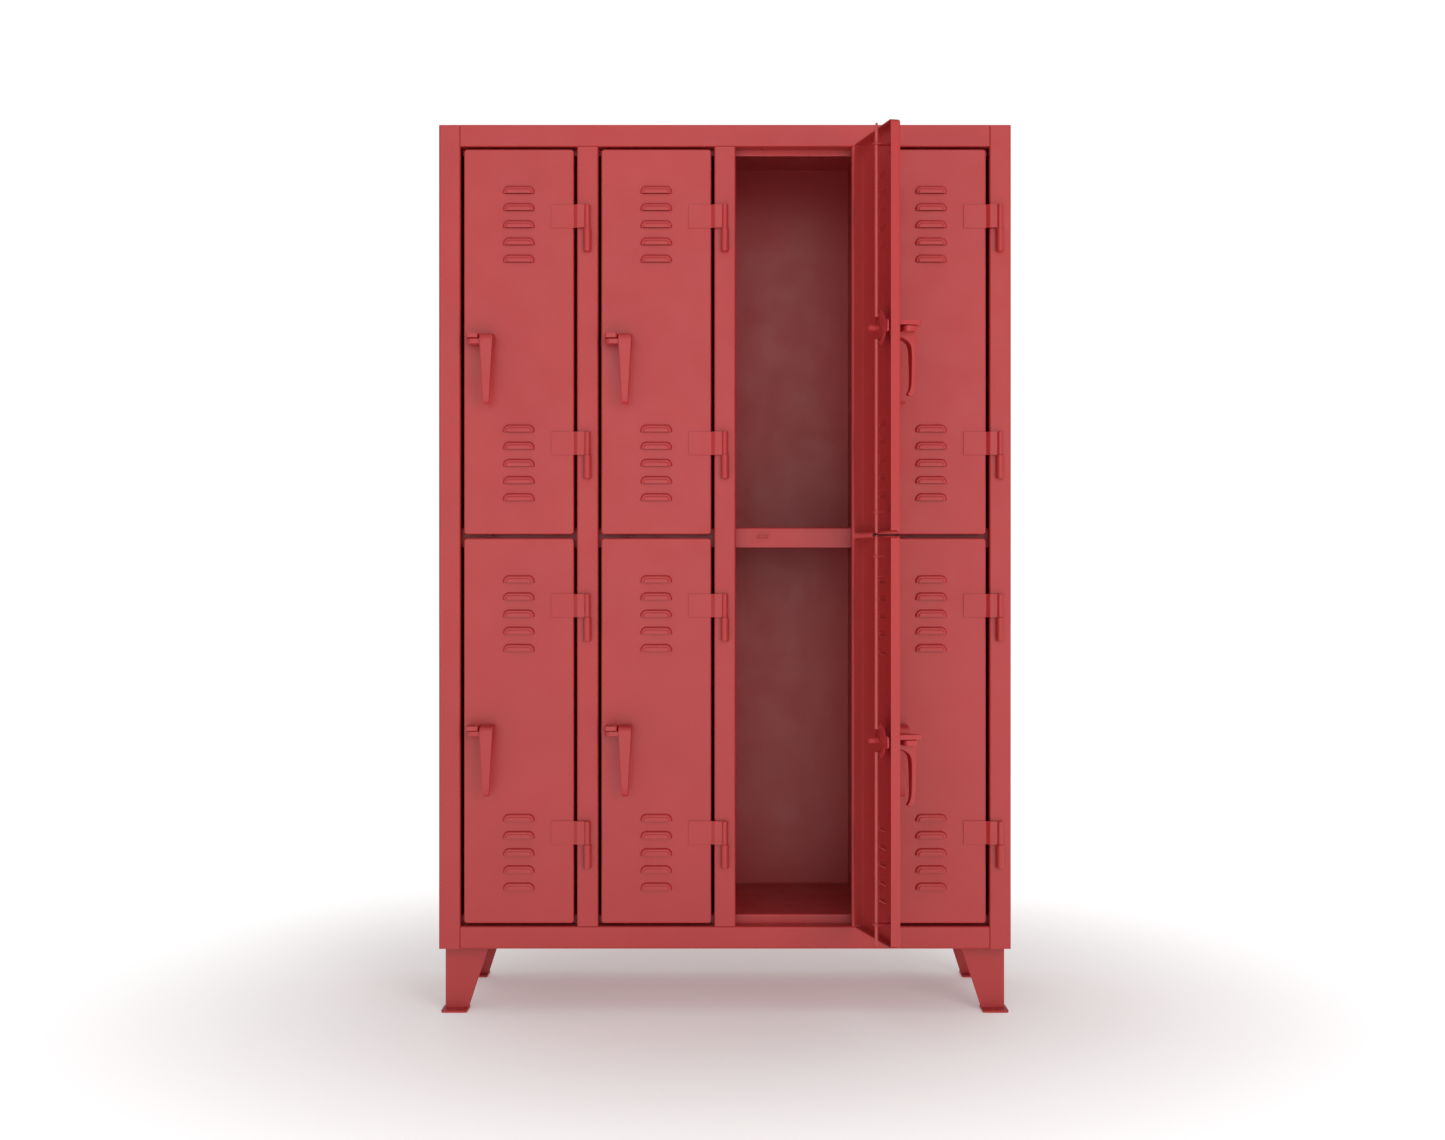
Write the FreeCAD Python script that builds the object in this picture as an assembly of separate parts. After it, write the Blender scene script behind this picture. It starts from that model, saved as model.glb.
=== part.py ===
import FreeCAD, Part
import math
import os

from FreeCAD import Vector

# School locker: four columns of two lockers in one welded cabinet of folded 12 gauge steel, on four
# gusset legs. Millimetres. +X is to the right of a person facing the doors, +Y runs from the doors to
# the back, +Z is up. The origin is on the floor, under the middle of the cabinet.

# Cabinet
WIDTH = 1270.0
DEPTH = 457.2
BODY_HEIGHT = 1828.8
LEG_HEIGHT = 146.0
SHEET = 2.66
BEND = 1.6
COLUMN_PITCH = 304.8
COLUMNS = (1, 2, 3, 4)
SIDE_FLANGE = 48.0
MULLION_WIDTH = 47.5
FLANGE_RETURN = 16.0
HEADER_HEIGHT = 48.0
SILL_HEIGHT = 50.0
LIP_SETBACK = 39.5
HEADER_LIP = 12.7
FLOOR_LEVEL = 70.5
SHELF_LEVEL = 936.0
SHELF_FLANGE = 44.5
WEB_OVERLAP = 5.5
SILL_FOOT = 25.0

# Doors
DOOR_WIDTH = 244.0
DOOR_HEIGHT = 854.5
DOOR_DEPTH = 21.0
DOOR_CORNER = 7.0
DOOR_EDGE = 3.5
DOOR_SILL_GAP = 6.9
DOOR_MIDDLE_GAP = 8.9
RELIEF_RADIUS = 2.6
RELIEF_FLOOR = 8.0
OPEN_COLUMN = 3
OPEN_ANGLE = 104.0

# Louvers: two groups in each door, hooded and open at the lower edge
LOUVER_WIDTH = 72.0
LOUVER_HEIGHT = 17.0
LOUVER_RISE = 8.0
LOUVER_CORNER = 9.5
LOUVER_WALL = 2.0
LOUVER_LIP = 2.5
LOUVER_PITCH = 38.1
LOUVERS_IN_GROUP = 5
LOUVER_GROUPS_BELOW_TOP = (98.4, 627.6)

# Lift-off hinges: the door half is a strap with a blind knuckle, the frame half a barrel with a pin
HINGE_OFFSET = COLUMN_PITCH / 2
HINGE_FORWARD = 8.0
HINGE_INSET = 123.5
HINGE_LENGTH = 104.0
HINGE_GAP = 0.3
KNUCKLE_RADIUS = 6.5
BARREL_RADIUS = 8.5
PIN_RADIUS = 4.0
RUNNING_CLEARANCE = 0.05
PIN_REACH = 46.0
KNUCKLE_BORE_DEPTH = 48.0
STRAP_THICKNESS = 2.5
STRAP_ON_DOOR = 50.0
STRAP_JOGGLE = 9.0
STRAP_BEND = 2.0

# Latch: a lever on a spindle, a cam plate with two spiral slots, and two rods
SPINDLE_X = -67.5
SPINDLE_RADIUS = 6.0
SPINDLE_SQUARE = 10.0
SPINDLE_THREAD = 4.0
SPINDLE_END = 53.0
CAM_FRONT = 26.5
CAM_THICKNESS = 3.0
CAM_RADIUS = 38.0
TONGUE_REACH = 57.0
TONGUE_WIDTH = 26.0
CAM_TRAVEL = 13.0
ROD_PIN_REST = 27.7
ROD_PIN_RADIUS = 3.0
SLOT_HALF_WIDTH = 3.3
SLOT_POINTS = 13
ROD_RADIUS = 4.15
ROD_Y = 34.0
ROD_REACH = 2.5
ROD_TIP_LENGTH = 9.0
ROD_TIP_RADIUS = 2.0
NUT_ACROSS_FLATS = 13.0
NUT_HEIGHT = 6.5
SLEEVE_RADIUS = 7.0
SLEEVE_LENGTH = 8.5

# Lever
HUB_RADIUS = 15.5
HUB_CLEARANCE = 0.5
LEVER_OUTER = 50.0
LEVER_TIP_WIDTH = 14.0
LEVER_LENGTH = 142.0
LUG_TOP = 2.5
LUG_BOTTOM = -9.0
LUG_NEAR = -13.0
LUG_FAR = -43.0

# Padlock hasp, welded to the door above the lever's lug
HASP_LEFT = -111.5
HASP_RIGHT = -84.5
HASP_BOTTOM = 4.0
HASP_TOP = 13.5
HASP_REACH = 50.0
HASP_CORNER = 5.0
PADLOCK_RADIUS = 5.5
PADLOCK_Y = -31.0

# Rod guides and keepers
GUIDE_INSET = 42.0
GUIDE_WIDTH = 17.0
GUIDE_THICKNESS = 2.66
GUIDE_BORE = 4.25
GUIDE_FOOT = 16.0
KEEPER_WIDTH = 24.0
KEEPER_FRONT = 26.0
KEEPER_THICKNESS = 2.0
KEEPER_BORE = 5.0

# Legs
LEG_PLATE = 4.76
LEG_TOP_WIDTH = 98.0
LEG_BOTTOM_WIDTH = 52.0
LEG_SIDE_BOTTOM = 33.0
LEG_SETBACK = 48.0
LEG_INSET = 8.0
FOOT_WIDTH = 58.0
FOOT_DEPTH = 64.0
FOOT_SETBACK = 17.0
FOOT_OVERHANG = 6.0
ANCHOR_RADIUS = 5.5
RAIL_SHEET = 3.5
RAIL_WIDTH = 103.3
RAIL_START = 46.0

# Places that follow from the sizes above
FRONT = -DEPTH / 2
BACK_FACE = DEPTH / 2 - SHEET
BOTTOM = LEG_HEIGHT
TOP = LEG_HEIGHT + BODY_HEIGHT
SIDE_INNER = WIDTH / 2 - SHEET
OPENING_EDGE = WIDTH / 2 - SIDE_FLANGE
LIP_FACE = FRONT + LIP_SETBACK
HINGE_HALF = HINGE_LENGTH / 2
LOWER_DOOR_CENTRE = BOTTOM + SILL_HEIGHT + DOOR_SILL_GAP + DOOR_HEIGHT / 2
UPPER_DOOR_CENTRE = LOWER_DOOR_CENTRE + DOOR_HEIGHT + DOOR_MIDDLE_GAP
TIERS = {"lower": LOWER_DOOR_CENTRE, "upper": UPPER_DOOR_CENTRE}
ANCHOR_X = WIDTH / 2 - LEG_INSET - (LEG_BOTTOM_WIDTH - FOOT_OVERHANG) / 2
ANCHOR_Y = DEPTH / 2 - (FOOT_SETBACK + LEG_SETBACK) / 2


# ---------------------------------------------------------------- shape helpers


def block(x, y, z):
    """A box from its low and high ends along each axis."""
    return Part.makeBox(x[1] - x[0], y[1] - y[0], z[1] - z[0], Vector(x[0], y[0], z[0]))


def rod_along_y(radius, x, y, z):
    """A round bar along Y, with y as its low and high ends."""
    return Part.makeCylinder(radius, y[1] - y[0], Vector(x, y[0], z), Vector(0, 1, 0))


def rod_along_z(radius, x, y, z):
    """A round bar along Z, with z as its low and high ends."""
    return Part.makeCylinder(radius, z[1] - z[0], Vector(x, y, z[0]))


def in_plan(a, b, along):
    """A point of an outline seen from above, at height along."""
    return Vector(a, b, along)


def in_side(a, b, along):
    """A point of an outline seen along X: a runs back, b runs up."""
    return Vector(along, a, b)


def in_front(a, b, along):
    """A point of an outline seen from the front: a runs right, b runs up."""
    return Vector(a, along, b)


def extruded(edges, view, low, high):
    """Closes the edges into a face and extrudes it from low to high, across the view."""
    face = Part.Face(Part.Wire(Part.sortEdges(edges)[0]))
    return face.extrude(view(0, 0, high) - view(0, 0, low))


def prism(points, view, low, high):
    """A straight-sided outline, extruded from low to high across the view."""
    corners = [view(a, b, low) for a, b in points]
    return extruded(Part.makePolygon(corners + corners[:1]).Edges, view, low, high)


def direction(start, end):
    """The unit step from one 2D point to the next."""
    length = math.dist(start, end)
    return (end[0] - start[0]) / length, (end[1] - start[1]) / length


def offset_outline(points, distance):
    """The open outline moved to its left by a distance, with mitred corners."""
    steps = [direction(a, b) for a, b in zip(points, points[1:])]
    normals = [(-dy, dx) for dx, dy in steps]
    before = [normals[0]] + normals
    after = normals + [normals[-1]]
    moved = []
    for (x, y), (px, py), (qx, qy) in zip(points, before, after):
        scale = distance / (1 + px * qx + py * qy)
        moved.append((x + (px + qx) * scale, y + (py + qy) * scale))
    return moved


def rounded_run(points, radii, view, low):
    """Edges through the points, with an arc of the given radius at each inner one."""
    edges = []
    start = points[0]
    for before, corner, after, radius in zip(points, points[1:], points[2:], radii):
        into = direction(before, corner)
        out = direction(corner, after)
        turn = math.acos(into[0] * out[0] + into[1] * out[1])
        setback = radius * math.tan(turn / 2)
        first = (corner[0] - into[0] * setback, corner[1] - into[1] * setback)
        last = (corner[0] + out[0] * setback, corner[1] + out[1] * setback)
        half = ((first[0] + last[0]) / 2, (first[1] + last[1]) / 2)
        inward = direction(corner, half)
        depth = radius / math.cos(turn / 2) - radius
        middle = (corner[0] + inward[0] * depth, corner[1] + inward[1] * depth)
        edges.append(Part.makeLine(view(*start, low), view(*first, low)))
        edges.append(Part.Arc(view(*first, low), view(*middle, low), view(*last, low)).toShape())
        start = last
    edges.append(Part.makeLine(view(*start, low), view(*points[-1], low)))
    return edges


def folded(points, view, low, high, thickness=SHEET, bend=BEND):
    """A folded sheet: one face follows the points, and the metal lies on that face's left."""
    steps = [direction(a, b) for a, b in zip(points, points[1:])]
    near_radii = []
    far_radii = []
    for (ax, ay), (bx, by) in zip(steps, steps[1:]):
        turns_left = ax * by - ay * bx > 0
        near_radii.append(bend + thickness if turns_left else bend)
        far_radii.append(bend if turns_left else bend + thickness)
    far_points = offset_outline(points, thickness)
    edges = rounded_run(points, near_radii, view, low)
    edges += rounded_run(far_points[::-1], far_radii[::-1], view, low)
    edges.append(Part.makeLine(view(*points[0], low), view(*far_points[0], low)))
    edges.append(Part.makeLine(view(*points[-1], low), view(*far_points[-1], low)))
    return extruded(edges, view, low, high)


def edges_along(shape, axis):
    """The straight edges of a shape that run along an axis."""
    found = []
    for edge in shape.Edges:
        if not isinstance(edge.Curve, Part.Line):
            continue
        if abs(edge.tangentAt(edge.FirstParameter).dot(axis)) > 1 - 1e-6:
            found.append(edge)
    return found


def mirrored_x(shape):
    """The shape's mirror image, left for right."""
    return shape.mirror(Vector(0, 0, 0), Vector(1, 0, 0))


def mirrored_y(shape):
    """The shape's mirror image, front for back."""
    return shape.mirror(Vector(0, 0, 0), Vector(0, 1, 0))


def column_centre(column):
    """X of a column's middle."""
    return (column - 2.5) * COLUMN_PITCH


def column_walls(column):
    """X of the inner faces of the walls on a column's left and right."""
    left = column_centre(column) - (COLUMN_PITCH - SHEET) / 2
    right = column_centre(column) + (COLUMN_PITCH - SHEET) / 2
    if column == COLUMNS[0]:
        left = -SIDE_INNER
    if column == COLUMNS[-1]:
        right = SIDE_INNER
    return left, right


def partition_positions():
    """X of the three walls between columns."""
    return [column_centre(column) + COLUMN_PITCH / 2 for column in COLUMNS[:-1]]


def placed(shape, column, centre, turned=True):
    """A door piece, drawn about its door's middle, in its column and tier, and swung if its door is open."""
    result = shape.copy()
    x = column_centre(column)
    result.translate(Vector(x, FRONT, centre))
    if turned and column == OPEN_COLUMN:
        result.rotate(Vector(x + HINGE_OFFSET, FRONT - HINGE_FORWARD, 0), Vector(0, 0, 1), OPEN_ANGLE)
    return result


# ---------------------------------------------------------------- cabinet


def side_panels():
    """Both side walls, each with its front flange and the flange's return, notched under the lid."""
    points = [(-WIDTH / 2, BACK_FACE), (-WIDTH / 2, FRONT), (-OPENING_EDGE, FRONT)]
    points.append((-OPENING_EDGE, FRONT + FLANGE_RETURN))
    left = folded(points, in_plan, BOTTOM, TOP).cut(top_panel())
    return [left, mirrored_x(left)]


def back_panel():
    """One flat sheet across the back."""
    return [block((-WIDTH / 2, WIDTH / 2), (BACK_FACE, DEPTH / 2), (BOTTOM, TOP))]


def top_panel():
    """The flat lid, let in between the walls and behind the header."""
    return [block((-SIDE_INNER, SIDE_INNER), (FRONT + SHEET, BACK_FACE), (TOP - SHEET, TOP))]


def header_rail():
    """The rail over the doors, with a deep web and a stop lip that hangs behind the rods."""
    edge = TOP - HEADER_HEIGHT
    points = [(FRONT, TOP), (FRONT, edge), (LIP_FACE, edge), (LIP_FACE, edge - HEADER_LIP)]
    rail = folded(points, in_side, -OPENING_EDGE, OPENING_EDGE)
    return [rail.cut(rod_holes(edge))]


def sill_rail():
    """The rail under the doors, which carries the floor's front flange."""
    edge = BOTTOM + SILL_HEIGHT
    points = [(LIP_FACE + WEB_OVERLAP, edge), (FRONT, edge), (FRONT, BOTTOM)]
    points.append((FRONT + SILL_FOOT, BOTTOM))
    rail = folded(points, in_side, -OPENING_EDGE, OPENING_EDGE)
    return [rail.cut(rod_holes(edge))]


def rod_holes(level):
    """Cutters for the four rod holes in a rail's web at this level."""
    span = (level - 2 * SHEET, level + 2 * SHEET)
    return [rod_along_z(KEEPER_BORE, column_centre(c) + SPINDLE_X, FRONT + ROD_Y, span) for c in COLUMNS]


def floor_panel():
    """The floor of the lower lockers, with its front flange standing on the sill's web."""
    level = BOTTOM + FLOOR_LEVEL
    points = [(BACK_FACE, level), (LIP_FACE, level), (LIP_FACE, BOTTOM + SILL_HEIGHT)]
    return [folded(points, in_side, -SIDE_INNER, SIDE_INNER)]


def mullions():
    """The channel uprights between the doors."""
    half = MULLION_WIDTH / 2
    low = BOTTOM + SILL_HEIGHT
    high = TOP - HEADER_HEIGHT
    uprights = []
    for x in partition_positions():
        points = [(x - half, FRONT + FLANGE_RETURN), (x - half, FRONT), (x + half, FRONT)]
        points.append((x + half, FRONT + FLANGE_RETURN))
        uprights.append(folded(points, in_plan, low, high))
    return uprights


def partitions():
    """The walls between columns, notched at the top around the header's web and lip."""
    low = BOTTOM + FLOOR_LEVEL
    notch = TOP - HEADER_HEIGHT - HEADER_LIP
    front = FRONT + SHEET
    behind_lip = LIP_FACE + SHEET
    high = TOP - SHEET
    outline = [(front, low), (BACK_FACE, low), (BACK_FACE, high), (behind_lip, high)]
    outline += [(behind_lip, notch), (front, notch)]
    walls = []
    for x in partition_positions():
        walls.append(prism(outline, in_side, x - SHEET / 2, x + SHEET / 2))
    return walls


def shelves():
    """The shelf between the upper and lower locker of each column, with its rod keeper."""
    level = BOTTOM + SHELF_LEVEL
    points = [(BACK_FACE, level), (LIP_FACE, level), (LIP_FACE, level - SHELF_FLANGE)]
    middle = (LOWER_DOOR_CENTRE + UPPER_DOOR_CENTRE) / 2
    keeper_z = (middle - KEEPER_THICKNESS / 2, middle + KEEPER_THICKNESS / 2)
    plates = []
    for column in COLUMNS:
        left, right = column_walls(column)
        rod_x = column_centre(column) + SPINDLE_X
        keeper_x = (rod_x - KEEPER_WIDTH / 2, rod_x + KEEPER_WIDTH / 2)
        keeper = block(keeper_x, (FRONT + KEEPER_FRONT, LIP_FACE), keeper_z)
        keeper = keeper.cut(rod_along_z(KEEPER_BORE, rod_x, FRONT + ROD_Y, keeper_z))
        plates.append(folded(points, in_side, left, right).fuse(keeper).removeSplitter())
    return plates


def leg_rails():
    """The two channels under the floor that the legs are welded to."""
    under_floor = BOTTOM + FLOOR_LEVEL - SHEET
    inner = -SIDE_INNER + RAIL_WIDTH
    points = [(-SIDE_INNER, under_floor), (-SIDE_INNER, BOTTOM), (inner, BOTTOM), (inner, under_floor)]
    left = folded(points, in_front, FRONT + RAIL_START, BACK_FACE, RAIL_SHEET, RAIL_SHEET)
    return [left, mirrored_x(left)]


def legs():
    """Four legs, each of two tapered gusset plates on a foot plate with an anchor hole."""
    outer = -WIDTH / 2 + LEG_INSET
    front = FRONT + LEG_SETBACK
    face = [(outer, LEG_PLATE), (outer + LEG_BOTTOM_WIDTH, LEG_PLATE)]
    face += [(outer + LEG_TOP_WIDTH, BOTTOM), (outer, BOTTOM)]
    side = [(front, LEG_PLATE), (front + LEG_SIDE_BOTTOM, LEG_PLATE)]
    side += [(front + LEG_TOP_WIDTH, BOTTOM), (front, BOTTOM)]
    foot_x = (outer - FOOT_OVERHANG, outer - FOOT_OVERHANG + FOOT_WIDTH)
    foot_y = (FRONT + FOOT_SETBACK, FRONT + FOOT_SETBACK + FOOT_DEPTH)
    foot = block(foot_x, foot_y, (0, LEG_PLATE))
    foot = foot.makeFillet(DOOR_CORNER, edges_along(foot, Vector(0, 0, 1)))
    foot = foot.cut(rod_along_z(ANCHOR_RADIUS, -ANCHOR_X, -ANCHOR_Y, (0, LEG_PLATE)))
    leg = prism(face, in_front, front, front + LEG_PLATE)
    leg = leg.fuse([prism(side, in_side, outer, outer + LEG_PLATE), foot]).removeSplitter()
    pair = [leg, mirrored_y(leg)]
    return pair + [mirrored_x(each) for each in pair]


def hinge_levels():
    """Heights of the lower ends of a door's two hinges, from the door's middle."""
    half = DOOR_HEIGHT / 2
    return [half - HINGE_INSET - HINGE_LENGTH, HINGE_INSET - half]


def hinge_pintles():
    """The frame halves of all the hinges: a barrel, flat where it is welded on, with its pin."""
    barrels = []
    for centre in TIERS.values():
        for column in COLUMNS:
            for level in hinge_levels():
                span = (level, level + HINGE_HALF)
                barrel = rod_along_z(BARREL_RADIUS, HINGE_OFFSET, -HINGE_FORWARD, span)
                sides = (HINGE_OFFSET - BARREL_RADIUS, HINGE_OFFSET + BARREL_RADIUS)
                barrel = barrel.cut(block(sides, (0, BARREL_RADIUS), span))
                pin_span = (level + HINGE_HALF, level + HINGE_HALF + PIN_REACH)
                pin = rod_along_z(PIN_RADIUS, HINGE_OFFSET, -HINGE_FORWARD, pin_span)
                tip = [edge for edge in pin.Edges if edge.BoundBox.ZMin > pin_span[1] - 1e-3]
                pin = pin.makeChamfer(1.0, tip)
                barrels.append(placed(barrel.fuse(pin), column, centre, turned=False))
    return barrels


# ---------------------------------------------------------------- doors, about each door's middle


def pan_block(inset, corner, edge):
    """The outside of the pan, or the hollow inside it when drawn in by the sheet's thickness."""
    half_width = DOOR_WIDTH / 2 - inset
    half_height = DOOR_HEIGHT / 2 - inset
    depth = (inset, DOOR_DEPTH)
    shape = block((-half_width, half_width), depth, (-half_height, half_height))
    shape = shape.makeFillet(corner, edges_along(shape, Vector(0, 1, 0)))
    rim = [e for e in shape.Edges if e.BoundBox.YMax < inset + 1e-3]
    return shape.makeFillet(edge, rim)


def louver_levels():
    """Heights of the louvers' open lower edges, from the door's middle."""
    levels = []
    for below_top in LOUVER_GROUPS_BELOW_TOP:
        for index in range(LOUVERS_IN_GROUP):
            levels.append(DOOR_HEIGHT / 2 - below_top - index * LOUVER_PITCH)
    return levels


def louver_hood():
    """The outside of a louver with its lower edge at height 0."""
    half = LOUVER_WIDTH / 2
    ridge = [(0, 0), (-LOUVER_RISE, 0), (-LOUVER_RISE, LOUVER_LIP), (0, LOUVER_HEIGHT)]
    hood = prism(ridge, in_side, -half, half)
    outline = block((-half, half), (-LOUVER_RISE, 0), (0, LOUVER_HEIGHT))
    upper = [e for e in edges_along(outline, Vector(0, 1, 0)) if e.BoundBox.ZMin > 0]
    return hood.common(outline.makeFillet(LOUVER_CORNER, upper))


def louver_hollow():
    """The air passage through a louver and the skin behind it."""
    half = LOUVER_WIDTH / 2 - LOUVER_WALL
    inner = LOUVER_WALL - LOUVER_RISE
    top = LOUVER_HEIGHT - 2 * LOUVER_WALL
    passage = [(inner, -1), (0, -1), (0, 0), (SHEET, 0), (SHEET, top), (0, top), (inner, LOUVER_LIP)]
    return prism(passage, in_side, -half, half)


def door_pan():
    """The door: a folded pan with louvers, corner reliefs and a hole for the spindle."""
    pan = pan_block(0, DOOR_CORNER, DOOR_EDGE)
    pan = pan.cut(pan_block(SHEET, DOOR_CORNER - SHEET, DOOR_EDGE - SHEET))
    hoods = []
    cutters = [rod_along_y(SPINDLE_RADIUS + RUNNING_CLEARANCE, SPINDLE_X, (0, SHEET), 0)]
    for level in louver_levels():
        hood = louver_hood()
        hood.translate(Vector(0, 0, level))
        hoods.append(hood)
        hollow = louver_hollow()
        hollow.translate(Vector(0, 0, level))
        cutters.append(hollow)
    for x in (-DOOR_WIDTH / 2, DOOR_WIDTH / 2):
        for z in (-DOOR_HEIGHT / 2, DOOR_HEIGHT / 2):
            cutters.append(rod_along_y(RELIEF_RADIUS, x, (RELIEF_FLOOR, DOOR_DEPTH), z))
            inward_x = x - math.copysign(DOOR_CORNER / 2, x)
            inward_z = z - math.copysign(DOOR_CORNER / 2, z)
            cutters.append(rod_along_y(RELIEF_RADIUS, inward_x, (RELIEF_FLOOR, DOOR_DEPTH), inward_z))
    return pan.fuse(hoods).removeSplitter().cut(cutters)


def hinge_straps():
    """The door halves of the two hinges: a joggled strap with a blind knuckle."""
    edge = DOOR_WIDTH / 2
    mid_face = -HINGE_FORWARD + STRAP_THICKNESS / 2
    points = [(HINGE_OFFSET - KNUCKLE_RADIUS / 2, mid_face), (edge + STRAP_JOGGLE, mid_face)]
    points += [(edge + 1, 0), (edge - STRAP_ON_DOOR, 0)]
    straps = []
    for level in hinge_levels():
        low = level + HINGE_HALF + HINGE_GAP
        high = level + HINGE_LENGTH
        strap = folded(points, in_plan, low, high, STRAP_THICKNESS, STRAP_BEND)
        strap = strap.fuse(rod_along_z(KNUCKLE_RADIUS, HINGE_OFFSET, -HINGE_FORWARD, (low, high)))
        bore_span = (low, low + KNUCKLE_BORE_DEPTH)
        bore_radius = PIN_RADIUS + RUNNING_CLEARANCE
        strap = strap.cut(rod_along_z(bore_radius, HINGE_OFFSET, -HINGE_FORWARD, bore_span))
        straps.append(strap.removeSplitter())
    return straps


def padlock_hasp():
    """The fixed plate that a padlock shackle passes through."""
    plate = block((HASP_LEFT, HASP_RIGHT), (-HASP_REACH, 0), (HASP_BOTTOM, HASP_TOP))
    outer = [e for e in edges_along(plate, Vector(0, 0, 1)) if e.BoundBox.YMax < -1]
    plate = plate.makeFillet(HASP_CORNER, outer)
    middle = (HASP_LEFT + HASP_RIGHT) / 2
    return plate.cut(rod_along_z(PADLOCK_RADIUS, middle, PADLOCK_Y, (HASP_BOTTOM, HASP_TOP)))


def rod_guide(level, towards_end):
    """A bracket on the inside of the door with a hole that a rod slides in."""
    half = GUIDE_WIDTH / 2
    span = (level - GUIDE_THICKNESS / 2, level + GUIDE_THICKNESS / 2)
    across = (SPINDLE_X - half, SPINDLE_X + half)
    foot_span = sorted((level, level - towards_end * GUIDE_FOOT))
    guide = block(across, (SHEET, ROD_Y), span)
    guide = guide.fuse([rod_along_z(half, SPINDLE_X, ROD_Y, span),
                        block(across, (SHEET, SHEET + GUIDE_THICKNESS), foot_span)])
    return guide.cut(rod_along_z(GUIDE_BORE, SPINDLE_X, ROD_Y, span)).removeSplitter()


def latch_fittings():
    """What is welded to the door for the latch: the hasp and the two rod guides."""
    level = DOOR_HEIGHT / 2 - GUIDE_INSET
    return [padlock_hasp(), rod_guide(level, 1), rod_guide(-level, -1)]


# ---------------------------------------------------------------- latch, about each door's middle


def lever_profile():
    """The side view of the lever arm: out from the hub, down, and back towards the door at its end."""
    outer = [(-38, HUB_RADIUS), (-47, 9), (-LEVER_OUTER, -8), (-LEVER_OUTER, -60), (-LEVER_OUTER + 0.5, -112)]
    outer += [(-45.5, -131), (-36, -LEVER_LENGTH)]
    inner = [(-30.5, -136.5), (-37.5, -126), (-40, -110), (-40, -55), (-36, -33), (-25, -23)]
    inner += [(-HUB_CLEARANCE, -HUB_RADIUS)]
    edges = []
    for points in (outer, inner):
        curve = Part.BSplineCurve()
        curve.interpolate([in_side(a, b, -HUB_RADIUS) for a, b in points])
        edges.append(curve.toShape())
    joints = [inner[-1], (-HUB_CLEARANCE, HUB_RADIUS), outer[0]]
    edges += Part.makePolygon([in_side(a, b, -HUB_RADIUS) for a, b in joints]).Edges
    edges.append(Part.makeLine(in_side(*outer[-1], -HUB_RADIUS), in_side(*inner[0], -HUB_RADIUS)))
    return extruded(edges, in_side, -HUB_RADIUS, HUB_RADIUS)


def lever_front():
    """The front view of the lever: a round hub and a taper to the tip."""
    tip = LEVER_TIP_WIDTH / 2
    taper = [(-HUB_RADIUS, 0), (HUB_RADIUS, 0), (tip, -LEVER_LENGTH), (-tip, -LEVER_LENGTH)]
    arm = prism(taper, in_front, -LEVER_OUTER - 2, -HUB_CLEARANCE)
    hub = rod_along_y(HUB_RADIUS, 0, (-LEVER_OUTER - 2, -HUB_CLEARANCE), 0)
    return arm.fuse(hub).removeSplitter()


def lever_lug():
    """The lug under the hasp, with the second hole for the padlock."""
    middle = (HASP_LEFT + HASP_RIGHT) / 2 - SPINDLE_X
    end = HASP_LEFT - SPINDLE_X
    radius = middle - end
    plate = block((middle, -HUB_RADIUS / 2), (LUG_FAR, LUG_NEAR), (LUG_BOTTOM, LUG_TOP))
    tip = block((end, middle), (LUG_FAR, LUG_NEAR), (LUG_BOTTOM, LUG_TOP))
    corners = [e for e in edges_along(tip, Vector(0, 0, 1)) if e.BoundBox.XMax < end + 1e-3]
    plate = plate.fuse(tip.makeFillet(radius - 1, corners))
    return plate.cut(rod_along_z(PADLOCK_RADIUS, middle, PADLOCK_Y, (LUG_BOTTOM, LUG_TOP)))


def lever():
    """The lever with its hub, lug and spindle, about the spindle's axis."""
    arm = lever_profile().common(lever_front())
    shoulder = rod_along_y(SPINDLE_RADIUS, 0, (-HUB_CLEARANCE, CAM_FRONT), 0)
    half = SPINDLE_SQUARE / 2
    cam_back = CAM_FRONT + CAM_THICKNESS
    square = block((-half, half), (CAM_FRONT, cam_back), (-half, half))
    square = square.common(rod_along_y(SPINDLE_RADIUS, 0, (CAM_FRONT, cam_back), 0))
    thread = rod_along_y(SPINDLE_THREAD, 0, (cam_back, SPINDLE_END), 0)
    return arm.fuse([lever_lug(), shoulder, square, thread]).removeSplitter()


def spiral(offset):
    """Points of a spiral slot's side: the pin's radius shrinks evenly over a quarter turn."""
    points = []
    for index in range(SLOT_POINTS):
        share = index / (SLOT_POINTS - 1)
        angle = math.radians(90 - 90 * share)
        radius = ROD_PIN_REST - CAM_TRAVEL * share
        slope = math.atan2(CAM_TRAVEL / radius, math.pi / 2)
        x = radius * math.cos(angle) + offset * math.cos(angle - slope)
        z = radius * math.sin(angle) + offset * math.sin(angle - slope)
        points.append(Vector(x, CAM_FRONT, z))
    return points


def spiral_slot():
    """The cutter for one slot of the cam plate, with round ends."""
    outer = spiral(SLOT_HALF_WIDTH)
    inner = spiral(-SLOT_HALF_WIDTH)
    sides = []
    for points in (outer, inner):
        curve = Part.BSplineCurve()
        curve.interpolate(points)
        sides.append(curve.toShape())
    ends = []
    for index in (0, -1):
        ends.append(Part.makeLine(outer[index], inner[index]))
    face = Part.Face(Part.Wire(Part.sortEdges(sides + ends)[0]))
    slot = face.extrude(Vector(0, CAM_THICKNESS, 0))
    depth = (CAM_FRONT, CAM_FRONT + CAM_THICKNESS)
    first = rod_along_y(SLOT_HALF_WIDTH, 0, depth, ROD_PIN_REST)
    last = rod_along_y(SLOT_HALF_WIDTH, ROD_PIN_REST - CAM_TRAVEL, depth, 0)
    return slot.fuse([first, last])


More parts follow.
